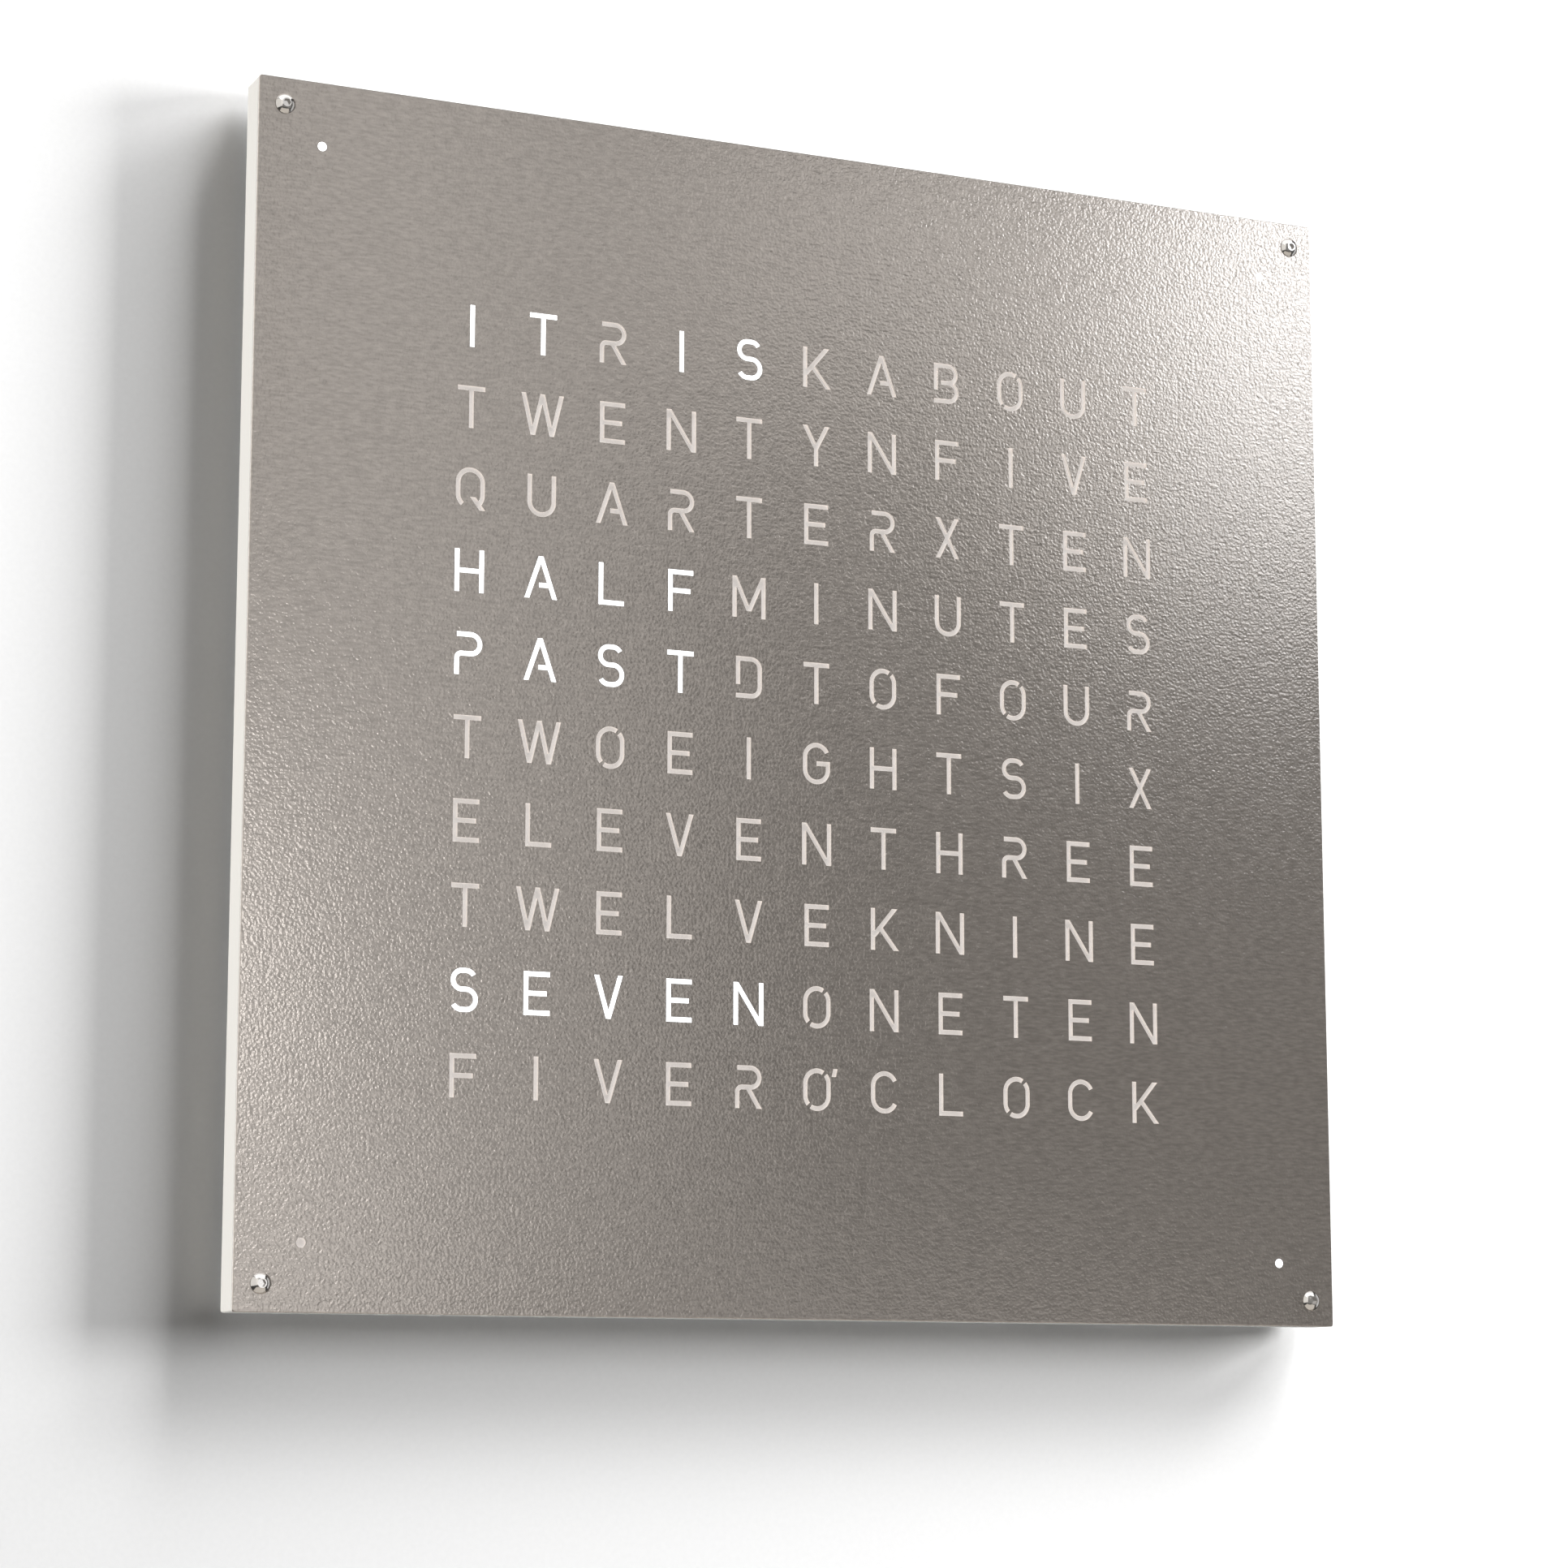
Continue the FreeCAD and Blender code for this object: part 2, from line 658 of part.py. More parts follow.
def letter_w(s):
    xs = (-s, -s / 2, 0, s / 2, s)
    zs = (CAP_HEIGHT, 0, CAP_HEIGHT, 0, CAP_HEIGHT)
    return [slant(xs[k], zs[k], xs[k + 1], zs[k + 1]) for k in range(4)]


def letter_x(s):
    return [slant(-s, CAP_HEIGHT, s, 0), slant(s, CAP_HEIGHT, -s, 0)]


def letter_y(s):
    arms = [slant(side * s, CAP_HEIGHT, 0, FORK_HEIGHT_Y) for side in (-1, 1)]
    return arms + [stem(0, 0, FORK_HEIGHT_Y)]


LETTERS = {
    "A": letter_a, "B": letter_b, "C": letter_c, "D": letter_d, "E": letter_e, "F": letter_f,
    "G": letter_g, "H": letter_h, "I": letter_i, "K": letter_k, "L": letter_l, "M": letter_m,
    "N": letter_n, "O": letter_o, "P": letter_p, "Q": letter_q, "R": letter_r, "S": letter_s,
    "T": letter_t, "U": letter_u, "V": letter_v, "W": letter_w, "X": letter_x, "Y": letter_y,
}


def stencil(strokes):
    """The outlines of the cut-outs that strokes make together. None of them holds an island."""
    bars = [stroke.extrude(BACKWARDS) for stroke in strokes]
    joined = bars[0]
    if len(bars) > 1:
        joined = joined.multiFuse(bars[1:]).removeSplitter()
    return [face.OuterWire for face in joined.Faces if face.BoundBox.YMax < PICK]


def cells():
    """Each cell of the letter grid as (row, column, x, z), from the top left."""
    for row in range(ROWS):
        for column in range(COLUMNS):
            x = (column - (COLUMNS - 1) / 2) * COLUMN_PITCH
            z = ((ROWS - 1) / 2 - row) * ROW_PITCH
            yield row, column, x, z


def letter_wires():
    """Every letter's outlines, each in the middle of its cell."""
    shapes = {name: stencil(draw(LETTER_HALF_WIDTH[name])) for name, draw in LETTERS.items()}
    mark_foot = CAP_HEIGHT - APOSTROPHE_LENGTH
    mark = slant(APOSTROPHE_OFFSET, CAP_HEIGHT, APOSTROPHE_OFFSET - APOSTROPHE_LEAN, mark_foot)
    wires = []
    for row, column, x, z in cells():
        outlines = list(shapes[LETTER_ROWS[row][column]])
        if (row, column) == (APOSTROPHE_ROW, APOSTROPHE_COLUMN):
            outlines.append(mark.OuterWire)
        for wire in outlines:
            placed = wire.copy()
            placed.translate(V(x, 0, z - MIDDLE))
            wires.append(placed)
    return wires


# ---- front ----
def front_cover():
    """Brushed steel plate with the letters, the four minute dots and the screw holes."""
    outer = plate_outline(HALF_WIDTH, HALF_HEIGHT, CORNER_ROUND)
    holes = letter_wires()
    for sx, sz in CORNERS:
        holes.append(round_wire(sx * DOT_X, sz * DOT_Z, DOT_RADIUS))
        holes.append(round_wire(sx * SCREW_X, sz * SCREW_Z, COVER_HOLE_RADIUS))
    plate = cut_plate(outer, holes, COVER_FRONT, COVER_THICKNESS)
    return plate.makeChamfer(COVER_EDGE_BREAK, rim_edges(plate, COVER_FRONT))


def cover_screw(x, z):
    """A polished button-head screw with a hexagon socket, its head on the cover."""
    top = COVER_FRONT - SCREW_HEAD_HEIGHT
    drop = SCREW_HEAD_HEIGHT - SCREW_RIM
    reach = SCREW_HEAD_RADIUS ** 2 - SCREW_FLAT_RADIUS ** 2
    depth = (reach + drop ** 2) / (2 * drop)
    dome = math.hypot(SCREW_FLAT_RADIUS, depth)
    edge_angle = math.asin(SCREW_HEAD_RADIUS / dome)
    angle = (math.asin(SCREW_FLAT_RADIUS / dome) + edge_angle) / 2
    flat = V(SCREW_FLAT_RADIUS, top, 0)
    rim = V(SCREW_HEAD_RADIUS, top + drop, 0)
    crown = V(dome * math.sin(angle), top + depth - dome * math.cos(angle), 0)
    foot = V(SCREW_HEAD_RADIUS, COVER_FRONT, 0)
    profile = [
        Part.LineSegment(V(0, top, 0), flat),
        Part.Arc(flat, crown, rim),
        Part.LineSegment(rim, foot),
        Part.LineSegment(foot, V(0, COVER_FRONT, 0)),
        Part.LineSegment(V(0, COVER_FRONT, 0), V(0, top, 0)),
    ]
    half = Part.Face(Part.Wire([edge.toShape() for edge in profile]))
    head = half.revolve(V(0, 0, 0), BACKWARDS, 360)
    shank = pin(0, 0, SCREW_SHANK_RADIUS, COVER_FRONT, COVER_FRONT + SCREW_LENGTH)
    corner = SOCKET_ACROSS_FLATS / math.sqrt(3)
    turns = [math.radians(60 * k) for k in range(6)]
    socket = polygon([V(corner * math.cos(a), top, corner * math.sin(a)) for a in turns])
    screw = head.fuse(shank).cut(Part.Face(socket).extrude(BACKWARDS * SOCKET_DEPTH))
    screw = screw.removeSplitter()
    screw.translate(V(x, 0, z))
    return screw


def diffuser():
    """Opal sheet behind the whole cover, notched round the corner blocks."""
    width = 2 * (INNER_HALF_WIDTH - DIFFUSER_CLEARANCE)
    height = 2 * (INNER_HALF_HEIGHT - DIFFUSER_CLEARANCE)
    sheet = slab(0, 0, width, height, CASING_FRONT, DIFFUSER_BACK)
    notch = 2 * (BLOCK_SIZE + NOTCH_CLEARANCE)
    notches = []
    for sx, sz in CORNERS:
        x, z = sx * INNER_HALF_WIDTH, sz * INNER_HALF_HEIGHT
        notches.append(slab(x, z, notch, notch, CASING_FRONT, DIFFUSER_BACK))
    return sheet.cut(group(notches))


# ---- casing ----
def casing_ring():
    """The whole lacquered surround, before it is parted at its mitres."""
    outer = plate_outline(HALF_WIDTH, HALF_HEIGHT, CORNER_ROUND)
    solid = cut_plate(outer, [], CASING_FRONT, CASING_DEPTH)
    solid = solid.makeChamfer(RAIL_FRONT_BREAK, rim_edges(solid, CASING_FRONT))
    solid = solid.makeFillet(RAIL_BACK_ROUND, rim_edges(solid, CASING_BACK))
    inside = slab(0, 0, 2 * INNER_HALF_WIDTH, 2 * INNER_HALF_HEIGHT, CASING_FRONT, CASING_BACK)
    ledge = slab(0, 0, 2 * LEDGE_HALF_WIDTH, 2 * LEDGE_HALF_HEIGHT, PANEL_FRONT, CASING_BACK)
    return solid.cut(inside).cut(ledge)


def mitre(sx, sz):
    """The wedge of space that one rail of the surround takes up."""
    near, far = [corner for corner in CORNERS if corner[0] == sx or corner[1] == sz]
    points = [
        (near[0] * HALF_WIDTH, near[1] * HALF_HEIGHT),
        (far[0] * HALF_WIDTH, far[1] * HALF_HEIGHT),
        (far[0] * INNER_HALF_WIDTH, far[1] * INNER_HALF_HEIGHT),
        (near[0] * INNER_HALF_WIDTH, near[1] * INNER_HALF_HEIGHT),
    ]
    wedge = outline(points)
    wedge.translate(V(0, CASING_FRONT, 0))
    return wedge.extrude(BACKWARDS * CASING_DEPTH)


def casing_rail(ring, sx, sz):
    """One mitred rail of the surround."""
    return ring.common(mitre(sx, sz))


def bottom_rail(ring):
    """The rail with the holes of the push-buttons and of the light sensor's window."""
    button_hole = BUTTON_RADIUS + BUTTON_CLEARANCE
    window_hole = SENSOR_WINDOW_RADIUS + SENSOR_WINDOW_CLEARANCE
    holes = [post(SENSOR_X, SWITCH_AXIS_Y, window_hole, -HALF_HEIGHT, BOTTOM_INSIDE)]
    for x in BUTTON_PLACES:
        holes.append(post(x, SWITCH_AXIS_Y, button_hole, -HALF_HEIGHT, BOTTOM_INSIDE))
    return casing_rail(ring, 0, -1).cut(group(holes))


def corner_part(sx, sz, width, height, front):
    """A box in a corner of the casing, against both rails and the back panel."""
    x, z = sx * INNER_HALF_WIDTH, sz * INNER_HALF_HEIGHT
    return slab(x - sx * width / 2, z - sz * height / 2, width, height, front, PANEL_FRONT)


def corner_block(sx, sz):
    """Moulded corner that joins two rails and takes the cover screw and two panel screws."""
    solid = corner_part(sx, sz, BLOCK_SIZE, BLOCK_SIZE, CASING_FRONT)
    solid = solid.fuse(corner_part(sx, sz, BLOCK_LEG_WIDTH, BLOCK_LEG_LENGTH, DIFFUSER_BACK))
    solid = solid.fuse(corner_part(sx, sz, BLOCK_LEG_LENGTH, BLOCK_LEG_WIDTH, DIFFUSER_BACK))
    insert_end = CASING_FRONT + INSERT_LENGTH
    holes = [pin(sx * SCREW_X, sz * SCREW_Z, INSERT_RADIUS, CASING_FRONT, insert_end)]
    for x, z in panel_screw_places(sx, sz):
        tip = CASING_BACK - PANEL_SCREW_LENGTH
        holes.append(pin(x, z, PANEL_SCREW_RADIUS, tip, PANEL_FRONT))
    return solid.cut(group(holes)).removeSplitter()


def threaded_insert(sx, sz):
    """Brass insert for a cover screw."""
    x, z = sx * SCREW_X, sz * SCREW_Z
    end = CASING_FRONT + INSERT_LENGTH
    outer = pin(x, z, INSERT_RADIUS, CASING_FRONT, end)
    return outer.cut(pin(x, z, INSERT_BORE_RADIUS, CASING_FRONT, end))


# ---- back panel ----
def panel_screw_places(sx, sz):
    """The two panel screws of one corner."""
    near_x, near_z = HALF_WIDTH - PANEL_SCREW_INSET, HALF_HEIGHT - PANEL_SCREW_INSET
    far_x = HALF_WIDTH - PANEL_SCREW_FROM_CORNER
    far_z = HALF_HEIGHT - PANEL_SCREW_FROM_CORNER
    return [(sx * near_x, sz * far_z), (sx * far_x, sz * near_z)]


def all_panel_screw_places():
    return [place for sx, sz in CORNERS for place in panel_screw_places(sx, sz)]


def hook_places():
    """The middle of each hook, at the height of its shelf's top."""
    return [(sx * HOOK_SPACING_X / 2, sz * HOOK_SPACING_Z / 2) for sx, sz in CORNERS]


def hook_slot(x, z):
    """The slot that a hook goes through. Its upper edge rests on the hook's shelf."""
    low = z - BRACKET_THICKNESS - LIFT_TRAVEL - LIFT_CLEARANCE
    width = HOOK_WIDTH + 2 * HOOK_SIDE_CLEARANCE
    return slab(x, (low + z) / 2, width, z - low, PANEL_FRONT, CASING_BACK)


def recess_slab(grow, y0, y1):
    """A box round the hollow of the inlet recess, larger by grow on each side."""
    middle = (RECESS_BOTTOM + RECESS_TOP) / 2
    return slab(INLET_X, middle, RECESS_WIDTH + 2 * grow, RECESS_HEIGHT + 2 * grow, y0, y1)


def back_panel():
    """Sheet that closes the casing, with slots for the hooks and the opening of the inlet."""
    width = 2 * (LEDGE_HALF_WIDTH - PANEL_CLEARANCE)
    height = 2 * (LEDGE_HALF_HEIGHT - PANEL_CLEARANCE)
    sheet = slab(0, 0, width, height, PANEL_FRONT, CASING_BACK)
    cuts = [hook_slot(x, z) for x, z in hook_places()]
    cuts.append(recess_slab(RECESS_WALL + RECESS_CLEARANCE, PANEL_FRONT, CASING_BACK))
    for x, z in all_panel_screw_places():
        cuts.append(pin(x, z, PANEL_HOLE_RADIUS, PANEL_FRONT, CASING_BACK))
    return sheet.cut(group(cuts))


def panel_screw(x, z):
    """Pan-head screw through the back panel into a corner block."""
    head_end = CASING_BACK + PANEL_SCREW_HEAD_HEIGHT
    head = pin(x, z, PANEL_SCREW_HEAD_RADIUS, CASING_BACK, head_end)
    head = head.makeFillet(PANEL_SCREW_HEAD_ROUND, rim_edges(head, head_end))
    shank = pin(x, z, PANEL_SCREW_RADIUS, CASING_BACK - PANEL_SCREW_LENGTH, CASING_BACK)
    drive = cross_slot(x, z, head_end - PANEL_SCREW_HEAD_HEIGHT / 2, head_end)
    return head.fuse(shank).cut(drive).removeSplitter()


def wall_buffer(sx, sz):
    """Rubber buffer between the back panel and the wall."""
    x, z = sx * (HALF_WIDTH - BUFFER_INSET), sz * (HALF_HEIGHT - BUFFER_INSET)
    disc = pin(x, z, BUFFER_RADIUS, CASING_BACK, 0)
    return disc.makeFillet(BUFFER_ROUND, rim_edges(disc, 0))


# ---- wall bracket ----
def hook(x, z):
    """A hook bent out of the bracket: a shelf towards the room and a tongue that points up."""
    back = PANEL_FRONT - HOOK_RUNNING_GAP
    front = back - BRACKET_THICKNESS
    low = z - BRACKET_THICKNESS
    left = x - HOOK_WIDTH / 2
    profile = [
        V(left, -BRACKET_THICKNESS, low),
        V(left, front, low),
        V(left, front, z + HOOK_TONGUE),
        V(left, back, z + HOOK_TONGUE),
        V(left, back, z),
        V(left, -BRACKET_THICKNESS, z),
    ]
    solid = Part.Face(polygon(profile)).extrude(V(HOOK_WIDTH, 0, 0))
    fold = []
    for edge in solid.Edges:
        box = edge.BoundBox
        if box.XLength > HOOK_WIDTH / 2 and box.ZMax < low + PICK and box.YMax < front + PICK:
            fold.append(edge)
    return solid.makeFillet(HOOK_BEND, fold)


def wall_bracket():
    """Sheet steel bracket, screwed to the wall, with four hooks cut and bent out of it."""
    outer = plate_outline(BRACKET_WIDTH / 2, BRACKET_HEIGHT / 2, BRACKET_CORNER)
    x, z = WALL_SCREW_SPACING_X / 2, WALL_SCREW_SPACING_Z / 2
    holes = [round_wire(sx * x, sz * z, WALL_HOLE_RADIUS) for sx, sz in CORNERS]
    solid = cut_plate(outer, holes, -BRACKET_THICKNESS, BRACKET_THICKNESS)
    window_width = HOOK_WIDTH + 2 * LANCE_GAP
    window_height = WALL_GAP + PANEL_THICKNESS + HOOK_RUNNING_GAP + HOOK_TONGUE
    for x, z in hook_places():
        middle = z + window_height / 2
        solid = solid.cut(slab(x, middle, window_width, window_height, -BRACKET_THICKNESS, 0))
        solid = solid.fuse(hook(x, z))
    return solid.removeSplitter()


# ---- light grid and LED boards ----
def light_grid():
    """White moulded grid with one well behind each letter."""
    outer = plate_outline(GRID_HALF_WIDTH, GRID_HALF_HEIGHT, GRID_CORNER)
    half_width = (COLUMN_PITCH - GRID_WALL) / 2
    half_height = (ROW_PITCH - GRID_WALL) / 2
    wells = []
    for row, column, x, z in cells():
        corners = [V(x + sx * half_width, 0, z + sz * half_height) for sx, sz in CORNERS]
        wells.append(polygon(corners))
    return cut_plate(outer, wells, DIFFUSER_BACK, BOARD_FRONT - DIFFUSER_BACK)


def board_screw_places(side):
    """Screws of the upper (side 1) or lower (side -1) LED board."""
    first = BOARD_SCREW_INSET
    last = BOARD_HALF_HEIGHT - BOARD_SCREW_INSET
    heights = (first, (first + last) / 2, last)
    return [(sx * BOARD_SCREW_X, side * height) for sx in (-1, 1) for height in heights]


def drilled(board, places):
    """A circuit board with its screw holes."""
    holes = [pin(x, z, BOARD_HOLE_RADIUS, BOARD_FRONT, BOARD_BACK) for x, z in places]
    return board.cut(group(holes))


def led_board(side):
    """Circuit board with half of the letter LEDs on its front."""
    height = BOARD_HALF_HEIGHT - BOARD_SPLIT_GAP / 2
    middle = side * (BOARD_HALF_HEIGHT - height / 2)
    board = slab(0, middle, 2 * BOARD_HALF_WIDTH, height, BOARD_FRONT, BOARD_BACK)
    return drilled(board, board_screw_places(side))


def led(x, z):
    """One LED package."""
    return slab(x, z, LED_SIZE, LED_SIZE, BOARD_FRONT - LED_HEIGHT, BOARD_FRONT)


def letter_leds(side):
    """The LEDs of one board, one in each well."""
    return group([led(x, z) for row, column, x, z in cells() if z * side > 0])


def led_drivers():
    """Driver chips on the back of the LED boards."""
    end = BOARD_BACK + DRIVER_HEIGHT
    chips = []
    for side in (-1, 1):
        for k in range(DRIVER_COLUMNS):
            x = (k - (DRIVER_COLUMNS - 1) / 2) * DRIVER_PITCH
            z = side * (BOARD_HALF_HEIGHT - DRIVER_INSET)
            chips.append(slab(x, z, DRIVER_LENGTH, DRIVER_WIDTH, BOARD_BACK, end))
    return group(chips)


def cable_ends():
    """Heights of the flat-cable connectors: two at the split, two at the control board."""
    split = BOARD_SPLIT_GAP / 2 + CONNECTOR_INSET
    return split, -split, -BOARD_HALF_HEIGHT + CONNECTOR_INSET, CONTROL_TOP - CONNECTOR_INSET


def cable_connectors():
    """Flat-cable connectors on the backs of the boards."""
    end = BOARD_BACK + CONNECTOR_HEIGHT
    heights = cable_ends()
    return group([slab(0, z, CONNECTOR_LENGTH, CONNECTOR_WIDTH, BOARD_BACK, end) for z in heights])


def flat_cable(high, low):
    """A flat cable between two connectors that face each other."""
    y = BOARD_BACK + CONNECTOR_HEIGHT / 2
    length = high - low - CONNECTOR_WIDTH
    half = FLEX_THICKNESS / 2
    return slab(0, (high + low) / 2, FLEX_WIDTH, length, y - half, y + half)


# ---- minute dot units ----
def dot_well(x, z):
    """Tube that keeps a minute dot's light to itself."""
    outer = pin(x, z, DOT_WELL_RADIUS, DIFFUSER_BACK, BOARD_FRONT)
    return outer.cut(pin(x, z, DOT_WELL_RADIUS - DOT_WELL_WALL, DIFFUSER_BACK, BOARD_FRONT))


def dot_board(x, z):
    """Small board behind a minute dot."""
    return slab(x, z, DOT_BOARD_SIZE, DOT_BOARD_SIZE, BOARD_FRONT, BOARD_BACK)


def dot_lead(sx, sz):
    """Lead from the LED board to a minute dot's board, on the backs of both."""
    y = BOARD_BACK + LEAD_RADIUS
    start = V(sx * GRID_HALF_WIDTH, y, sz * GRID_HALF_HEIGHT)
    end = V(sx * (DOT_X - DOT_LEAD_END), y, sz * (DOT_Z - DOT_LEAD_END))
    middle = (start + end) * 0.5 + V(sx, 0, -sz) * DOT_LEAD_SAG
    return tube("dot lead", [start, middle, end], LEAD_RADIUS)


# ---- control board ----
def on_control_board(offset):
    """A place on the control board, from its middle."""
    return CONTROL_X + offset[0], CONTROL_MIDDLE + offset[1]


def control_screw_places():
    """Screws near the four corners of the control board."""
    across = CONTROL_WIDTH / 2 - CONTROL_SCREW_INSET
    along = CONTROL_HEIGHT / 2 - CONTROL_SCREW_INSET
    return [on_control_board((sx * across, sz * along)) for sx, sz in CORNERS]


def control_board():
    """The board that keeps the time and drives the LEDs."""
    x, z = on_control_board((0, 0))
    board = slab(x, z, CONTROL_WIDTH, CONTROL_HEIGHT, BOARD_FRONT, BOARD_BACK)
    return drilled(board, control_screw_places())


def component(offset, width, height, depth):
    """A square-cut component on the front of the control board."""
    x, z = on_control_board(offset)
    return slab(x, z, width, height, BOARD_FRONT - depth, BOARD_FRONT)


def battery_holder():
    """Open ring that holds the coin cell against its floor, with a gap for the thumb."""
    x, z = on_control_board(CELL_OFFSET)
    floor = BOARD_FRONT - CELL_HOLDER_FLOOR
    front = floor - CELL_THICKNESS
    ring = pin(x, z, CELL_HOLDER_RADIUS, front, BOARD_FRONT)
    seat = pin(x, z, CELL_RADIUS + CELL_CLEARANCE, front, floor)
    mouth = slab(x, z + CELL_HOLDER_RADIUS, THUMB_GAP, CELL_HOLDER_RADIUS, front, floor)
    return ring.cut(seat).cut(mouth)


def coin_cell():
    """Cell that keeps the time when the supply is off."""
    x, z = on_control_board(CELL_OFFSET)
    floor = BOARD_FRONT - CELL_HOLDER_FLOOR
    can = pin(x, z, CELL_RADIUS, floor - CELL_THICKNESS, floor - CELL_STEP)
    return can.fuse(pin(x, z, CELL_RADIUS - CELL_RIM, floor - CELL_STEP, floor))


def capacitors():
    """Two reservoir capacitors beside the power header."""
    front = BOARD_FRONT - CAPACITOR_HEIGHT
    places = [on_control_board(offset) for offset in CAPACITOR_OFFSETS]
    return group([pin(x, z, CAPACITOR_RADIUS, front, BOARD_FRONT) for x, z in places])


# ---- time signal receiver ----
def antenna_rod():
    """Ferrite rod."""
    return post(ROD_X, ROD_Y, ROD_RADIUS, ROD_Z - ROD_LENGTH / 2, ROD_Z + ROD_LENGTH / 2)


def antenna_coil():
    """Copper winding round the middle of the rod."""
    low, high = ROD_Z - COIL_LENGTH / 2, ROD_Z + COIL_LENGTH / 2
    return post(ROD_X, ROD_Y, COIL_RADIUS, low, high).cut(post(ROD_X, ROD_Y, ROD_RADIUS, low, high))


def antenna_clip(end):
    """Saddle that holds one end of the rod on the back panel."""
    z = ROD_Z + end * (ROD_LENGTH - CLIP_LENGTH) / 2
    width = 2 * (ROD_RADIUS + CLIP_WALL)
    saddle = slab(ROD_X, z, width, CLIP_LENGTH, ROD_Y - CLIP_WRAP, PANEL_FRONT)
    seat = post(ROD_X, ROD_Y, ROD_RADIUS + CLIP_CLEARANCE, z - CLIP_LENGTH, z + CLIP_LENGTH)
    return saddle.cut(seat)


def receiver_screw_places():
    """Screws at the ends of the receiver board."""
    reach = RECEIVER_HEIGHT / 2 - RECEIVER_SCREW_INSET
    return [(ROD_X, RECEIVER_MIDDLE + end * reach) for end in (-1, 1)]


def receiver_board():
    """Small board that reads the time signal."""
    size = RECEIVER_WIDTH, RECEIVER_HEIGHT
    board = slab(ROD_X, RECEIVER_MIDDLE, *size, BOARD_FRONT, BOARD_BACK)
    return drilled(board, receiver_screw_places())


def receiver_chip():
    """The chip on the receiver board."""
    front = BOARD_FRONT - DRIVER_HEIGHT
    return slab(ROD_X, RECEIVER_MIDDLE, RECEIVER_CHIP, RECEIVER_CHIP, front, BOARD_FRONT)


def receiver_lead():
    """Lead from the receiver board down to the control board, on the fronts of both."""
    y = BOARD_FRONT - LEAD_RADIUS
    start_x = ROD_X + RECEIVER_WIDTH / 2 - 2 * LEAD_RADIUS
    end_x = CONTROL_X - CONTROL_WIDTH / 2 + 2 * LEAD_RADIUS
    end_z = CONTROL_TOP - 2 * CONTROL_SCREW_INSET - 2 * LEAD_RADIUS
    points = [
        V(start_x, y, RECEIVER_MIDDLE),
        V(start_x + 10, y, RECEIVER_MIDDLE - 12),
        V(start_x + 13, y, RECEIVER_MIDDLE - 34),
        V(start_x + 12, y, RECEIVER_MIDDLE - 62),
        V(start_x + 17, y, RECEIVER_MIDDLE - 87),
        V(start_x + 34, y, end_z - 2),
        V(start_x + 66, y, end_z - 5),
        V(start_x + 96, y, end_z - 1),
        V(end_x, y, end_z),
    ]
    return tube("receiver lead", points, LEAD_RADIUS)


# ---- push-buttons and light sensor ----
def button(x):
    """Push-button cap: crowned face, flange behind the rail and a stem into its switch."""
    low = -HALF_HEIGHT - BUTTON_PROUD
    cap = post(x, SWITCH_AXIS_Y, BUTTON_RADIUS, low, BOTTOM_INSIDE)
    rim = [edge for edge in cap.Edges if edge.BoundBox.ZMax < low + PICK]
    cap = cap.makeFillet(BUTTON_CROWN, rim)
    flange_top = BOTTOM_INSIDE + BUTTON_FLANGE_THICKNESS
    cap = cap.fuse(post(x, SWITCH_AXIS_Y, BUTTON_FLANGE_RADIUS, BOTTOM_INSIDE, flange_top))
    stem_top = SWITCH_BOTTOM + SWITCH_STEM_ENTRY
    cap = cap.fuse(post(x, SWITCH_AXIS_Y, BUTTON_STEM_RADIUS, flange_top, stem_top))
    return cap.removeSplitter()


def switch(x):
    """Side-operated push switch on the button board."""
    middle = SWITCH_BOTTOM + SWITCH_HEIGHT / 2
    body = slab(x, middle, SWITCH_SIZE, SWITCH_HEIGHT, BOARD_FRONT - SWITCH_DEPTH, BOARD_FRONT)
    hole_top = SWITCH_BOTTOM + SWITCH_STEM_ENTRY + BUTTON_TRAVEL + SWITCH_STEM_ROOM
    return body.cut(post(x, SWITCH_AXIS_Y, SWITCH_HOLE_RADIUS, SWITCH_BOTTOM, hole_top))


def button_board_screw_places():
    """Screws at the ends of the button board."""
    inset = BUTTON_BOARD_SCREW_INSET
    z = SWITCH_BOTTOM + BUTTON_BOARD_HEIGHT - inset
    return [(BUTTON_BOARD_LEFT + inset, z), (BUTTON_BOARD_RIGHT - inset, z)]


def button_board():
    """Board along the bottom rail that carries the switches and the light sensor."""
    top = SWITCH_BOTTOM + BUTTON_BOARD_HEIGHT
    ends = BUTTON_BOARD_LEFT, BUTTON_BOARD_RIGHT
    board = block(*ends, BOARD_FRONT, BOARD_BACK, SWITCH_BOTTOM, top)
    return drilled(board, button_board_screw_places())


def button_lead():
    """Lead from the button board to the control board, on the fronts of both."""
    y = BOARD_FRONT - LEAD_RADIUS
    start_x = BUTTON_BOARD_RIGHT - 2 * LEAD_RADIUS
    end_x = CONTROL_X - CONTROL_WIDTH / 2 + 2 * LEAD_RADIUS
    start_z = SWITCH_BOTTOM + BUTTON_BOARD_HEIGHT / 2
    points = [
        V(start_x, y, start_z),
        V(start_x + 10, y, start_z - 1),
        V(start_x + 20, y, start_z + 5),
        V(end_x, y, start_z + 7),
    ]
    return tube("button lead", points, LEAD_RADIUS)


def light_sensor():
    """Sensor that sets the brightness, above its window."""
    middle = SWITCH_BOTTOM + SENSOR_HEIGHT / 2
    front = SWITCH_AXIS_Y - SENSOR_SIZE / 2
    return slab(SENSOR_X, middle, SENSOR_SIZE, SENSOR_HEIGHT, front, BOARD_FRONT)


def sensor_window():
    """Clear light guide through the bottom rail, up to the sensor."""
    return post(SENSOR_X, SWITCH_AXIS_Y, SENSOR_WINDOW_RADIUS, -HALF_HEIGHT, SWITCH_BOTTOM)


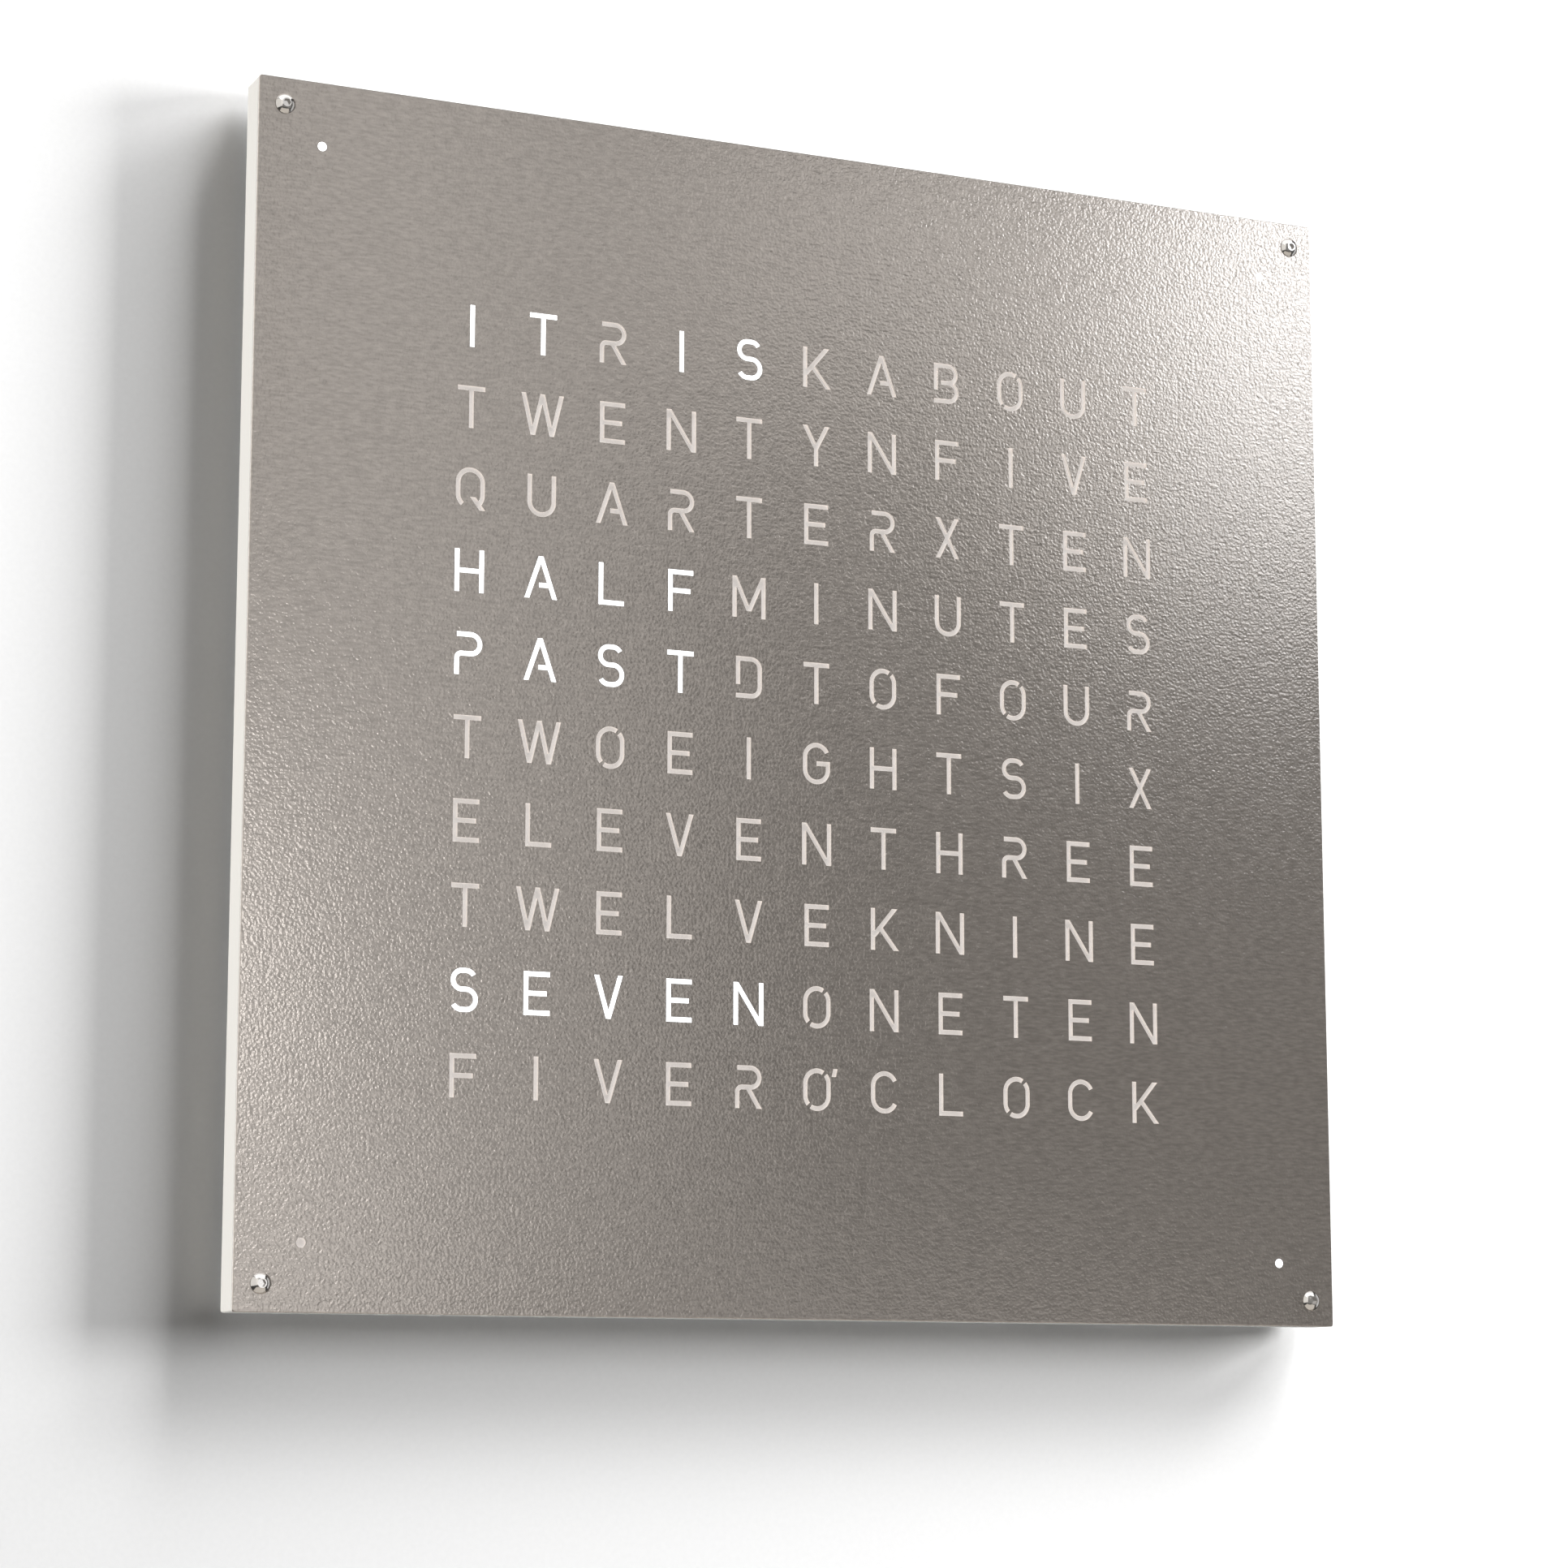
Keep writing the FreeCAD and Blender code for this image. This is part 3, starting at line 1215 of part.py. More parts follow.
# ---- power inlet ----
def inlet_recess():
    """Moulded pocket in the back, where the plug of the power supply lies."""
    shell = recess_slab(RECESS_WALL, RECESS_FRONT - RECESS_WALL, CASING_BACK)
    lip = RECESS_WALL + RECESS_LIP
    shell = shell.fuse(recess_slab(lip, PANEL_FRONT - RECESS_WALL, PANEL_FRONT))
    hollow = recess_slab(0, RECESS_FRONT, CASING_BACK)
    barrel_hole = JACK_BARREL_RADIUS + JACK_CLEARANCE
    body_room = JACK_BODY_RADIUS + JACK_ROOM
    cuts = [
        post(INLET_X, JACK_Y, barrel_hole, RECESS_TOP, JACK_SEAT),
        post(INLET_X, JACK_Y, body_room, JACK_SEAT, JACK_SEAT + lip),
    ]
    return shell.cut(hollow).cut(group(cuts)).removeSplitter()


def power_jack():
    """Inlet for a round plug, mouth down, with its centre pin and two tags."""
    floor = JACK_MOUTH + JACK_BORE_DEPTH
    body = post(INLET_X, JACK_Y, JACK_BODY_RADIUS, JACK_SEAT, JACK_TOP)
    body = body.fuse(post(INLET_X, JACK_Y, JACK_BARREL_RADIUS, JACK_MOUTH, JACK_SEAT))
    body = body.cut(post(INLET_X, JACK_Y, JACK_BORE_RADIUS, JACK_MOUTH, floor))
    contact = JACK_MOUTH + JACK_PIN_RECESS
    body = body.fuse(post(INLET_X, JACK_Y, JACK_PIN_RADIUS, contact, floor))
    front, back = JACK_Y - TAG_WIDTH / 2, JACK_Y + TAG_WIDTH / 2
    for side in (-1, 1):
        x = INLET_X + side * TAG_OFFSET
        middle = JACK_TOP + TAG_LENGTH / 2
        body = body.fuse(slab(x, middle, TAG_THICKNESS, TAG_LENGTH, front, back))
    return body.removeSplitter()


def jack_nut():
    """Thin nut that clamps the inlet to the top of its recess."""
    corner = NUT_ACROSS_FLATS / math.sqrt(3)
    low = RECESS_TOP - NUT_HEIGHT
    turns = [math.radians(60 * k) for k in range(6)]
    centre = V(INLET_X, JACK_Y, low)
    points = [centre + V(math.cos(a), math.sin(a), 0) * corner for a in turns]
    nut = Part.Face(polygon(points)).extrude(UP * NUT_HEIGHT)
    return nut.cut(post(INLET_X, JACK_Y, JACK_BARREL_RADIUS, low, RECESS_TOP))


def power_leads():
    """The two leads from the inlet's tags to the power header, one in front of the other."""
    header_x, z = on_control_board(POWER_HEADER_OFFSET)
    entry = header_x + POWER_HEADER_LENGTH / 2
    top = JACK_TOP + TAG_LENGTH
    leads = []
    for side, depth in zip((-1, 1), POWER_LEAD_DEPTHS):
        x = INLET_X + side * TAG_OFFSET
        y = BOARD_FRONT - depth
        points = [
            V(x, JACK_Y, top),
            V(x, JACK_Y, top + 3),
            V(x - 7, y, top + 2.5),
            V(x - 18, y, top + 0.5),
            V(x - 38, y, z - 2.5),
            V(entry + 16, y, z),
            V(entry, y, z),
        ]
        leads.append(tube("power lead", points, POWER_LEAD_RADIUS))
    return group(leads)


# ---- spacers and board screws ----
def board_fixings():
    """Every screw of the boards that stand on the back panel."""
    places = board_screw_places(1) + board_screw_places(-1) + control_screw_places()
    return places + receiver_screw_places() + button_board_screw_places()


def dot_spacer(x, z):
    """Plain spacer behind a minute dot's board."""
    return pin(x, z, SPACER_RADIUS, BOARD_BACK, PANEL_FRONT)


def board_spacer(x, z):
    """Tapped spacer between the back panel and a board."""
    tip = BOARD_FRONT + BOARD_SCREW_LENGTH
    return dot_spacer(x, z).cut(pin(x, z, BOARD_SCREW_RADIUS, BOARD_BACK, tip))


def board_screw(x, z):
    """Screw that holds a board to its spacer."""
    front = BOARD_FRONT - BOARD_SCREW_HEAD_HEIGHT
    head = pin(x, z, BOARD_SCREW_HEAD_RADIUS, front, BOARD_FRONT)
    shank = pin(x, z, BOARD_SCREW_RADIUS, BOARD_FRONT, BOARD_FRONT + BOARD_SCREW_LENGTH)
    drive = cross_slot(x, z, front, front + BOARD_SCREW_HEAD_HEIGHT / 2)
    return head.fuse(shank).cut(drive).removeSplitter()


# ---- everything, by node name ----
def casing_parts():
    ring = casing_ring()
    return {
        "casing_rail_top": casing_rail(ring, 0, 1),
        "casing_rail_bottom": bottom_rail(ring),
        "casing_rail_left": casing_rail(ring, -1, 0),
        "casing_rail_right": casing_rail(ring, 1, 0),
        "corner_blocks": group([corner_block(sx, sz) for sx, sz in CORNERS]),
        "threaded_inserts": group([threaded_insert(sx, sz) for sx, sz in CORNERS]),
        "back_panel": back_panel(),
        "back_panel_screws": group([panel_screw(x, z) for x, z in all_panel_screw_places()]),
        "wall_buffers": group([wall_buffer(sx, sz) for sx, sz in CORNERS]),
        "wall_bracket": wall_bracket(),
    }


def front_parts():
    screws = [cover_screw(sx * SCREW_X, sz * SCREW_Z) for sx, sz in CORNERS]
    return {"front_cover": front_cover(), "cover_screws": group(screws), "diffuser": diffuser()}


def light_parts():
    high, low, board_end, control_end = cable_ends()
    dots = [(sx * DOT_X, sz * DOT_Z) for sx, sz in CORNERS]
    return {
        "light_grid": light_grid(),
        "led_board_upper": led_board(1),
        "led_board_lower": led_board(-1),
        "letter_leds_upper": letter_leds(1),
        "letter_leds_lower": letter_leds(-1),
        "led_drivers": led_drivers(),
        "cable_connectors": cable_connectors(),
        "board_link_cable": flat_cable(high, low),
        "control_cable": flat_cable(board_end, control_end),
        "dot_wells": group([dot_well(x, z) for x, z in dots]),
        "dot_boards": group([dot_board(x, z) for x, z in dots]),
        "dot_leds": group([led(x, z) for x, z in dots]),
        "dot_spacers": group([dot_spacer(x, z) for x, z in dots]),
        "dot_leads": group([dot_lead(sx, sz) for sx, sz in CORNERS]),
        "board_spacers": group([board_spacer(x, z) for x, z in board_fixings()]),
        "board_screws": group([board_screw(x, z) for x, z in board_fixings()]),
    }


def control_parts():
    header = POWER_HEADER_LENGTH, POWER_HEADER_WIDTH, POWER_HEADER_HEIGHT
    clock_chip = CLOCK_CHIP_LENGTH, CLOCK_CHIP_WIDTH, CLOCK_CHIP_HEIGHT
    crystal = CRYSTAL_LENGTH, CRYSTAL_WIDTH, CRYSTAL_HEIGHT
    return {
        "control_board": control_board(),
        "microcontroller": component(CHIP_OFFSET, CHIP_SIZE, CHIP_SIZE, CHIP_HEIGHT),
        "clock_chip": component(CLOCK_CHIP_OFFSET, *clock_chip),
        "crystal": component(CRYSTAL_OFFSET, *crystal),
        "battery_holder": battery_holder(),
        "coin_cell": coin_cell(),
        "capacitors": capacitors(),
        "power_header": component(POWER_HEADER_OFFSET, *header),
        "antenna_rod": antenna_rod(),
        "antenna_coil": antenna_coil(),
        "antenna_clips": group([antenna_clip(end) for end in (-1, 1)]),
        "receiver_board": receiver_board(),
        "receiver_chip": receiver_chip(),
        "receiver_lead": receiver_lead(),
        "button_board": button_board(),
        "button_lead": button_lead(),
        "button_switches": group([switch(x) for x in BUTTON_PLACES]),
        "light_sensor": light_sensor(),
        "sensor_window": sensor_window(),
        "inlet_recess": inlet_recess(),
        "power_jack": power_jack(),
        "jack_nut": jack_nut(),
        "power_leads": power_leads(),
    }


def button_parts():
    return {"button_" + name: button(x) for name, x in zip(BUTTON_NAMES, BUTTON_PLACES)}


def main():
    os.makedirs("parts", exist_ok=True)
    nodes = {**casing_parts(), **front_parts(), **light_parts(), **control_parts(), **button_parts()}
    for name, shape in nodes.items():
        volume = sum(solid.Volume for solid in shape.Solids) / 1000
        print(f"{name}: {len(shape.Solids)} solids, {volume:.2f} cm3, valid {shape.isValid()}")
        shape.exportStep(f"parts/{name}.step")


main()
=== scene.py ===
"""Dresses the word clock: the finish of every part, the words that are lit, the wall and the light.

Metres, in the clock's own frame: X to the right seen from the front, +Y into the wall, +Z up.
"""

import math

import bmesh
import bpy
from mathutils import Matrix, Vector

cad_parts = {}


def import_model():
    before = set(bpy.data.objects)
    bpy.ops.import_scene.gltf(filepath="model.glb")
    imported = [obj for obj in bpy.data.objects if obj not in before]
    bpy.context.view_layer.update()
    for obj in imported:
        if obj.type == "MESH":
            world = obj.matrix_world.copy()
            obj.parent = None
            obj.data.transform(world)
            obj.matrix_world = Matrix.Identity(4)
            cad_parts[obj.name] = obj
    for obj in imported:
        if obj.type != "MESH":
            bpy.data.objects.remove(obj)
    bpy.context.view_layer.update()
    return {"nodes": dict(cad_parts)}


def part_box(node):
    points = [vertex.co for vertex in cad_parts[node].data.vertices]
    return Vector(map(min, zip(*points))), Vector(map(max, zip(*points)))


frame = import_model()
NODES = frame["nodes"]
MM = 0.001

# ---- the letter grid and the minute dots, read from the frame ----
GRID_LOW, GRID_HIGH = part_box("light_grid")
DOTS_LOW, DOTS_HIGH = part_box("dot_wells")
ROWS = 10
COLUMNS = 11
COLUMN_PITCH = (GRID_HIGH.x - GRID_LOW.x) / COLUMNS
ROW_PITCH = (GRID_HIGH.z - GRID_LOW.z) / ROWS

# ---- the time shown: lit words as (row, first column, last column), lit dots as (side, end) ----
LIT_WORDS = ((0, 0, 1), (0, 3, 4), (3, 0, 3), (4, 0, 3), (8, 0, 4))
LIT_DOTS = ((-1, 1), (1, 1), (1, -1))
DOT_WELL_RADIUS = 5.5 * MM
# Glow strengths: the lit one is the LEDs' own light in the diffuser. The unlit one is painted
# light, a faint glow in the warm white given to letters and dots whose LEDs are off, in place of
# light their shaded slots don't get.
LIT_GLOW = 1.2
UNLIT_PAINTED_GLOW = 0.36
UNLIT_PAINTED_GLOW_WHITE = (1.0, 0.94, 0.90)
COOL_WHITE = (0.90, 0.95, 1.0)

# ---- camera ----
SENSOR_WIDTH = 36.0
FOCAL_LENGTH = 91.53
EYE = Vector((-0.6348, -1.3719, -0.2686))
AIM = Vector((-0.0136, -0.0200, -0.0243))

# ---- wall and lights ----
WALL_SIZE = 14.0
WALL_GAP = 0.2 * MM
CARD_DISTANCE = 2.5
ROOM_TONE = (1.0, 0.97, 0.93)
DAYLIGHT = (0.95, 1.0, 1.06)
BACKDROP_TONE = (0.80, 0.80, 0.79)
WORLD_STRENGTH = 0.05

# ---- patterns ----
WAVE_RADIANS = 20.0  # what a wave texture of scale 1 turns through in a metre
CUT_FACING = 0.5  # the walls of the cut letters face the room by less than this


class Finish:
    """A material: a Principled shader, and the steps that feed it from Object coordinates.

    Its roughness is the even value, which a pattern fed to it later replaces.
    """

    def __init__(self, name, roughness, metallic=0.0):
        self.material = bpy.data.materials.new(name)
        self.material.use_nodes = True
        self.tree = self.material.node_tree
        self.shader = self.tree.nodes["Principled BSDF"]
        self.set("Roughness", roughness)
        self.set("Metallic", metallic)
        self.place = self.add("ShaderNodeTexCoord").outputs["Object"]

    def add(self, kind, **settings):
        """A new node, with its inputs set by name."""
        node = self.tree.nodes.new(kind)
        for name, value in settings.items():
            node.inputs[name].default_value = value
        return node

    def set(self, name, value):
        """Sets a socket of the shader to one value."""
        self.shader.inputs[name].default_value = value

    def feed(self, name, source):
        """Links a pattern to a socket of the shader."""
        self.tree.links.new(source, self.shader.inputs[name])

    def scaled(self, scale):
        """The place on the piece, stretched along each axis."""
        node = self.add("ShaderNodeMapping", Scale=scale)
        self.tree.links.new(self.place, node.inputs["Vector"])
        return node.outputs["Vector"]

    def noise(self, per_metre, detail=2.0):
        """Noise with this many features to the metre along each axis."""
        node = self.add("ShaderNodeTexNoise", Scale=1.0, Detail=detail)
        self.tree.links.new(self.scaled(per_metre), node.inputs["Vector"])
        return node.outputs["Fac"]

    def crystals(self, per_metre):
        """Flat patches of random grey, as on zinc."""
        node = self.add("ShaderNodeTexVoronoi", Scale=1.0)
        self.tree.links.new(self.scaled((per_metre,) * 3), node.inputs["Vector"])
        return self.split(node.outputs["Color"])[0]

    def bands(self, direction, radians_per_metre, wobble=0.0):
        """Even bands across one axis, from 0 to 1 and back in each turn of 2 pi radians."""
        scale = radians_per_metre / WAVE_RADIANS
        node = self.add("ShaderNodeTexWave", Scale=scale, Distortion=wobble)
        node.bands_direction = direction
        self.tree.links.new(self.place, node.inputs["Vector"])
        return node.outputs["Fac"]

    def split(self, vector):
        """The X, Y and Z of a vector."""
        node = self.add("ShaderNodeSeparateXYZ")
        self.tree.links.new(vector, node.inputs[0])
        return node.outputs

    def math(self, operation, *terms):
        """A Math node on sockets and numbers."""
        node = self.add("ShaderNodeMath")
        node.operation = operation
        for socket, term in zip(node.inputs, terms):
            if isinstance(term, (int, float)):
                socket.default_value = term
            else:
                self.tree.links.new(term, socket)
        return node.outputs[0]

    def mix(self, first, second, share):
        """A part of the first pattern and the rest of the second."""
        return self.math("ADD", self.math("MULTIPLY", first, share),
                         self.math("MULTIPLY", second, 1 - share))

    def spread(self, value, low, high, start=0.3, end=0.7):
        """Maps a pattern onto a range of numbers."""
        node = self.add("ShaderNodeMapRange")
        for socket, number in zip(node.inputs[1:5], (start, end, low, high)):
            socket.default_value = number
        self.tree.links.new(value, node.inputs["Value"])
        return node.outputs["Result"]

    def blend(self, value, dark, light, start=0.3, end=0.7):
        """Maps a pattern onto a range of colours."""
        node = self.add("ShaderNodeValToRGB")
        stops = node.color_ramp.elements
        for stop, place, colour in zip(stops, (start, end), (dark, light)):
            stop.position = place
            stop.color = (*colour, 1.0)
        self.tree.links.new(value, node.inputs["Fac"])
        return node.outputs["Color"]

    def relief(self, height, depth):
        """Bump of the surface, with its depth in metres."""
        node = self.add("ShaderNodeBump", Strength=1.0, Distance=depth)
        self.tree.links.new(height, node.inputs["Height"])
        self.feed("Normal", node.outputs["Normal"])


# ---- where the light comes through ----
def lit_areas():
    """Each lit word and dot as (centre x, centre z, half width, half height)."""
    areas = []
    for row, first, last in LIT_WORDS:
        x = GRID_LOW.x + (first + last + 1) / 2 * COLUMN_PITCH
        z = GRID_HIGH.z - (row + 0.5) * ROW_PITCH
        areas.append((x, z, (last - first + 1) / 2 * COLUMN_PITCH, ROW_PITCH / 2))
    for side, end in LIT_DOTS:
        x = side * (DOTS_HIGH.x - DOT_WELL_RADIUS)
        z = end * (DOTS_HIGH.z - DOT_WELL_RADIUS)
        areas.append((x, z, DOT_WELL_RADIUS, DOT_WELL_RADIUS))
    return areas


def box_mask(finish, place, x, z, half_width, half_height):
    """1 inside an upright box about (x, z) and 0 outside it."""
    across = finish.math("ABSOLUTE", finish.math("SUBTRACT", place["X"], x))
    along = finish.math("ABSOLUTE", finish.math("SUBTRACT", place["Z"], z))
    within_width = finish.math("LESS_THAN", across, half_width)
    within_height = finish.math("LESS_THAN", along, half_height)
    return finish.math("MULTIPLY", within_width, within_height)


def lit_mask(finish):
    """1 in front of the wells that are lit and 0 elsewhere."""
    place = finish.split(finish.place)
    total = 0.0
    for area in lit_areas():
        total = finish.math("MAXIMUM", box_mask(finish, place, *area), total)
    return total


# ---- finishes of what shows from the front ----
def brushed_cover():
    """Stainless sheet with a short level grain. The walls of its cut letters glow: painted light in
    place of the diffuser light they reflect, brighter at the lit words.
    """
    steel = Finish("brushed_cover", 0.17, metallic=0.7)
    steel.set("Anisotropic", 0.4)
    steel.set("Anisotropic Rotation", 0.25)
    dashes = steel.noise((240, 240, 1000), detail=3)
    sparkle = steel.noise((860, 860, 900), detail=1)
    grain = steel.mix(dashes, sparkle, 0.22)
    steel.feed("Base Color", steel.blend(dashes, (0.51, 0.467, 0.430), (0.67, 0.613, 0.563)))
    steel.feed("Roughness", steel.spread(dashes, 0.13, 0.18))
    steel.relief(grain, 0.105 * MM)
    place = steel.split(steel.place)
    facing = steel.split(steel.add("ShaderNodeNewGeometry").outputs["True Normal"])
    edge_on = steel.math("LESS_THAN", steel.math("ABSOLUTE", facing["Y"]), CUT_FACING)
    inside = box_mask(steel, place, 0, 0, DOTS_HIGH.x, DOTS_HIGH.z)
    lit = lit_mask(steel)
    # Painted light: the cut walls glow, faintly at unlit letters and strongly at lit ones, warm
    # where unlit and cool where lit.
    cut = steel.math("MULTIPLY", edge_on, inside)
    painted_wall_glow = steel.math("MULTIPLY", cut, steel.spread(lit, UNLIT_PAINTED_GLOW, LIT_GLOW, 0, 1))
    steel.feed("Emission Color", steel.blend(lit, UNLIT_PAINTED_GLOW_WHITE, COOL_WHITE, 0, 1))
    steel.feed("Emission Strength", painted_wall_glow)
    return steel.material


def opal_sheet():
    """Opal diffuser, bright in front of the LEDs that are on, with a fainter painted glow
    everywhere else.
    """
    opal = Finish("opal_sheet", 0.45)
    cloud = opal.noise((60, 60, 60), detail=3)
    lit = lit_mask(opal)
    opal.feed("Base Color", opal.blend(cloud, (0.84, 0.82, 0.80), (0.89, 0.87, 0.85)))
    # Emission: the LED light of the lit words, and painted glow on the unlit rest.
    opal.feed("Emission Color", opal.blend(lit, UNLIT_PAINTED_GLOW_WHITE, COOL_WHITE, 0, 1))
    opal.feed("Emission Strength", opal.spread(lit, UNLIT_PAINTED_GLOW, LIT_GLOW, 0, 1))
    return opal.material


def satin_lacquer():
    """Off-white lacquer with a faint orange peel."""
    paint = Finish("satin_lacquer", 0.34)
    cloud = paint.noise((12, 12, 12), detail=4)
    peel = paint.noise((450, 450, 450), detail=1)
    paint.feed("Base Color", paint.blend(cloud, (0.85, 0.835, 0.795), (0.89, 0.875, 0.84)))
    paint.feed("Roughness", paint.spread(cloud, 0.29, 0.39))
    paint.relief(peel, 0.012 * MM)
    return paint.material


# ---- finishes of the rest ----
def plain_metal(name, dark, light, roughness, per_metre=300.0):
    """Metal with a fine mottle in its colour and gloss."""
    metal = Finish(name, roughness, metallic=1.0)
    mottle = metal.noise((per_metre,) * 3, detail=3)
    metal.feed("Base Color", metal.blend(mottle, dark, light))
    metal.feed("Roughness", metal.spread(mottle, roughness * 0.8, roughness * 1.25))
    metal.relief(mottle, 0.006 * MM)
    return metal.material


def zinc_plate():
    """Galvanised steel with its spangle."""
    zinc = Finish("zinc_plate", 0.35, metallic=1.0)
    spangle = zinc.crystals(200)
    grain = zinc.noise((1500, 1500, 1500))
    both = zinc.mix(spangle, grain, 0.6)
    zinc.feed("Base Color", zinc.blend(both, (0.56, 0.57, 0.59), (0.70, 0.71, 0.73)))
    zinc.feed("Roughness", zinc.spread(both, 0.28, 0.44))
    zinc.relief(grain, 0.004 * MM)
    return zinc.material


def moulding(name, dark, light, roughness, depth=0.02 * MM, per_metre=1400.0):
    """Moulded plastic, rubber or resin with a fine texture from its tool."""
    plastic = Finish(name, roughness)
    texture = plastic.noise((per_metre,) * 3)
    cloud = plastic.noise((40, 40, 40), detail=3)
    plastic.feed("Base Color", plastic.blend(cloud, dark, light))
    plastic.feed("Roughness", plastic.spread(cloud, roughness * 0.85, roughness * 1.15))
    plastic.relief(texture, depth)
    return plastic.material


def circuit_board():
    """Green solder mask over copper tracks."""
    board = Finish("circuit_board", 0.32)
    tracks = board.bands("Z", 390, wobble=6.0)
    cloud = board.noise((50, 50, 50), detail=3)
    both = board.mix(tracks, cloud, 0.6)
    board.feed("Base Color", board.blend(both, (0.008, 0.050, 0.018), (0.022, 0.120, 0.042)))
    board.feed("Roughness", board.spread(cloud, 0.26, 0.38))
    board.relief(tracks, 0.02 * MM)
    return board.material


def copper_winding():
    """Enamelled wire, wound turn by turn."""
    copper = Finish("copper_winding", 0.3, metallic=1.0)
    turns = copper.bands("Z", 2500)
    tone = copper.noise((90, 90, 900), detail=3)
    copper.feed("Base Color", copper.blend(tone, (0.40, 0.14, 0.05), (0.64, 0.28, 0.12)))
    copper.feed("Roughness", copper.spread(tone, 0.24, 0.38))
    copper.relief(turns, 0.1 * MM)
    return copper.material


def cable_film():
    """Flat cable: conductors side by side under a pale film."""
    film = Finish("cable_film", 0.35)
    wires = film.bands("X", 1000)
    tone = film.noise((70, 70, 70), detail=3)
    both = film.mix(wires, tone, 0.7)
    film.feed("Base Color", film.blend(both, (0.52, 0.50, 0.44), (0.78, 0.76, 0.70)))
    film.feed("Roughness", film.spread(tone, 0.30, 0.42))
    film.relief(wires, 0.05 * MM)
    return film.material


def dress(material, *names):
    """Gives CAD nodes a finish."""
    for name in names:
        for slot in NODES[name].material_slots:
            slot.material = material


def dress_front():
    """The cover, its screws, the diffuser, the casing and what sits in its underside."""
    dress(brushed_cover(), "front_cover")
    dress(opal_sheet(), "diffuser")
    dress(satin_lacquer(), "casing_rail_top", "casing_rail_bottom", "casing_rail_left",
          "casing_rail_right")
    screws = plain_metal("polished_steel", (0.80, 0.78, 0.76), (0.90, 0.88, 0.86), 0.14)
    dress(screws, "cover_screws")
    dress(moulding("button_cap", (0.76, 0.75, 0.72), (0.82, 0.81, 0.78), 0.3),
          "button_hour", "button_minute", "button_dimmer", "button_mode")
    dress(moulding("light_guide", (0.62, 0.66, 0.67), (0.72, 0.77, 0.78), 0.12), "sensor_window")


def dress_back():
    """The bracket, the back panel, the buffers and the black mouldings."""
    dress(zinc_plate(), "wall_bracket", "back_panel_screws", "board_screws")
    dress(plain_metal("anodised_panel", (0.44, 0.45, 0.46), (0.56, 0.57, 0.58), 0.42, 800.0),
          "back_panel")
    dress(moulding("buffer_rubber", (0.03, 0.03, 0.03), (0.05, 0.05, 0.05), 0.75),
          "wall_buffers")
    dress(moulding("black_moulding", (0.025, 0.025, 0.027), (0.04, 0.04, 0.043), 0.5),
          "corner_blocks", "inlet_recess", "antenna_clips", "battery_holder", "power_jack")


def dress_inside():
    """The boards and what is on them, the leads and cables, and the metal pieces."""
    dress(moulding("white_moulding", (0.80, 0.80, 0.78), (0.86, 0.86, 0.84), 0.55),
          "light_grid", "dot_wells")
    dress(circuit_board(), "led_board_upper", "led_board_lower", "dot_boards",
          "control_board", "receiver_board", "button_board")
    dress(moulding("led_package", (0.80, 0.79, 0.70), (0.90, 0.88, 0.78), 0.4),
          "letter_leds_upper", "letter_leds_lower", "dot_leds")
    dress(moulding("chip_resin", (0.018, 0.018, 0.020), (0.030, 0.030, 0.032), 0.48),
          "led_drivers", "microcontroller", "clock_chip", "receiver_chip", "light_sensor",
          "button_switches")
    dress(moulding("nylon_connector", (0.70, 0.67, 0.58), (0.78, 0.75, 0.66), 0.45),
          "cable_connectors", "power_header")
    dress(moulding("lead_sleeve", (0.020, 0.020, 0.022), (0.034, 0.034, 0.036), 0.45),
          "dot_leads", "receiver_lead", "power_leads", "button_lead")
    dress(moulding("ferrite", (0.030, 0.030, 0.034), (0.055, 0.055, 0.060), 0.6), "antenna_rod")
    dress(cable_film(), "board_link_cable", "control_cable")
    dress(copper_winding(), "antenna_coil")
    dress(plain_metal("turned_brass", (0.66, 0.47, 0.20), (0.80, 0.60, 0.30), 0.30),
          "threaded_inserts", "board_spacers", "dot_spacers", "jack_nut")
    dress(plain_metal("nickel_can", (0.62, 0.61, 0.58), (0.74, 0.73, 0.70), 0.25),
          "coin_cell", "crystal")
    dress(plain_metal("capacitor_can", (0.40, 0.41, 0.43), (0.54, 0.55, 0.57), 0.35),
          "capacitors")


# ---- wall, lights and camera ----
def wall_paint():
    """Matt white paint on the room's side, and see-through from behind."""
    paint = Finish("wall_paint", 0.9)
    roller = paint.noise((500, 500, 500), detail=3)
    paint.feed("Base Color", paint.blend(roller, (0.85, 0.85, 0.85), (0.87, 0.87, 0.87)))
    paint.relief(roller, 0.02 * MM)
    clear = paint.add("ShaderNodeBsdfTransparent")
    side = paint.add("ShaderNodeNewGeometry")
    mix = paint.add("ShaderNodeMixShader")
    links = paint.tree.links
    links.new(side.outputs["Backfacing"], mix.inputs["Fac"])
    links.new(paint.shader.outputs["BSDF"], mix.inputs[1])
    links.new(clear.outputs["BSDF"], mix.inputs[2])
    links.new(mix.outputs["Shader"], paint.tree.nodes["Material Output"].inputs["Surface"])
    return paint.material


def wall():
    """The wall behind the clock. It throws no light or shadow on the clock."""
    mesh = bpy.data.meshes.new("wall")
    sheet = bmesh.new()
    bmesh.ops.create_grid(sheet, x_segments=1, y_segments=1, size=WALL_SIZE / 2)
    upright = Matrix.Translation((0, WALL_GAP, 0)) @ Matrix.Rotation(math.radians(90), 4, "X")
    bmesh.ops.transform(sheet, matrix=upright, verts=sheet.verts)
    sheet.to_mesh(mesh)
    sheet.free()
    mesh.materials.append(wall_paint())
    piece = bpy.data.objects.new("wall", mesh)
    bpy.context.scene.collection.objects.link(piece)
    piece.visible_diffuse = False
    piece.visible_glossy = False
    piece.visible_shadow = False
    return piece


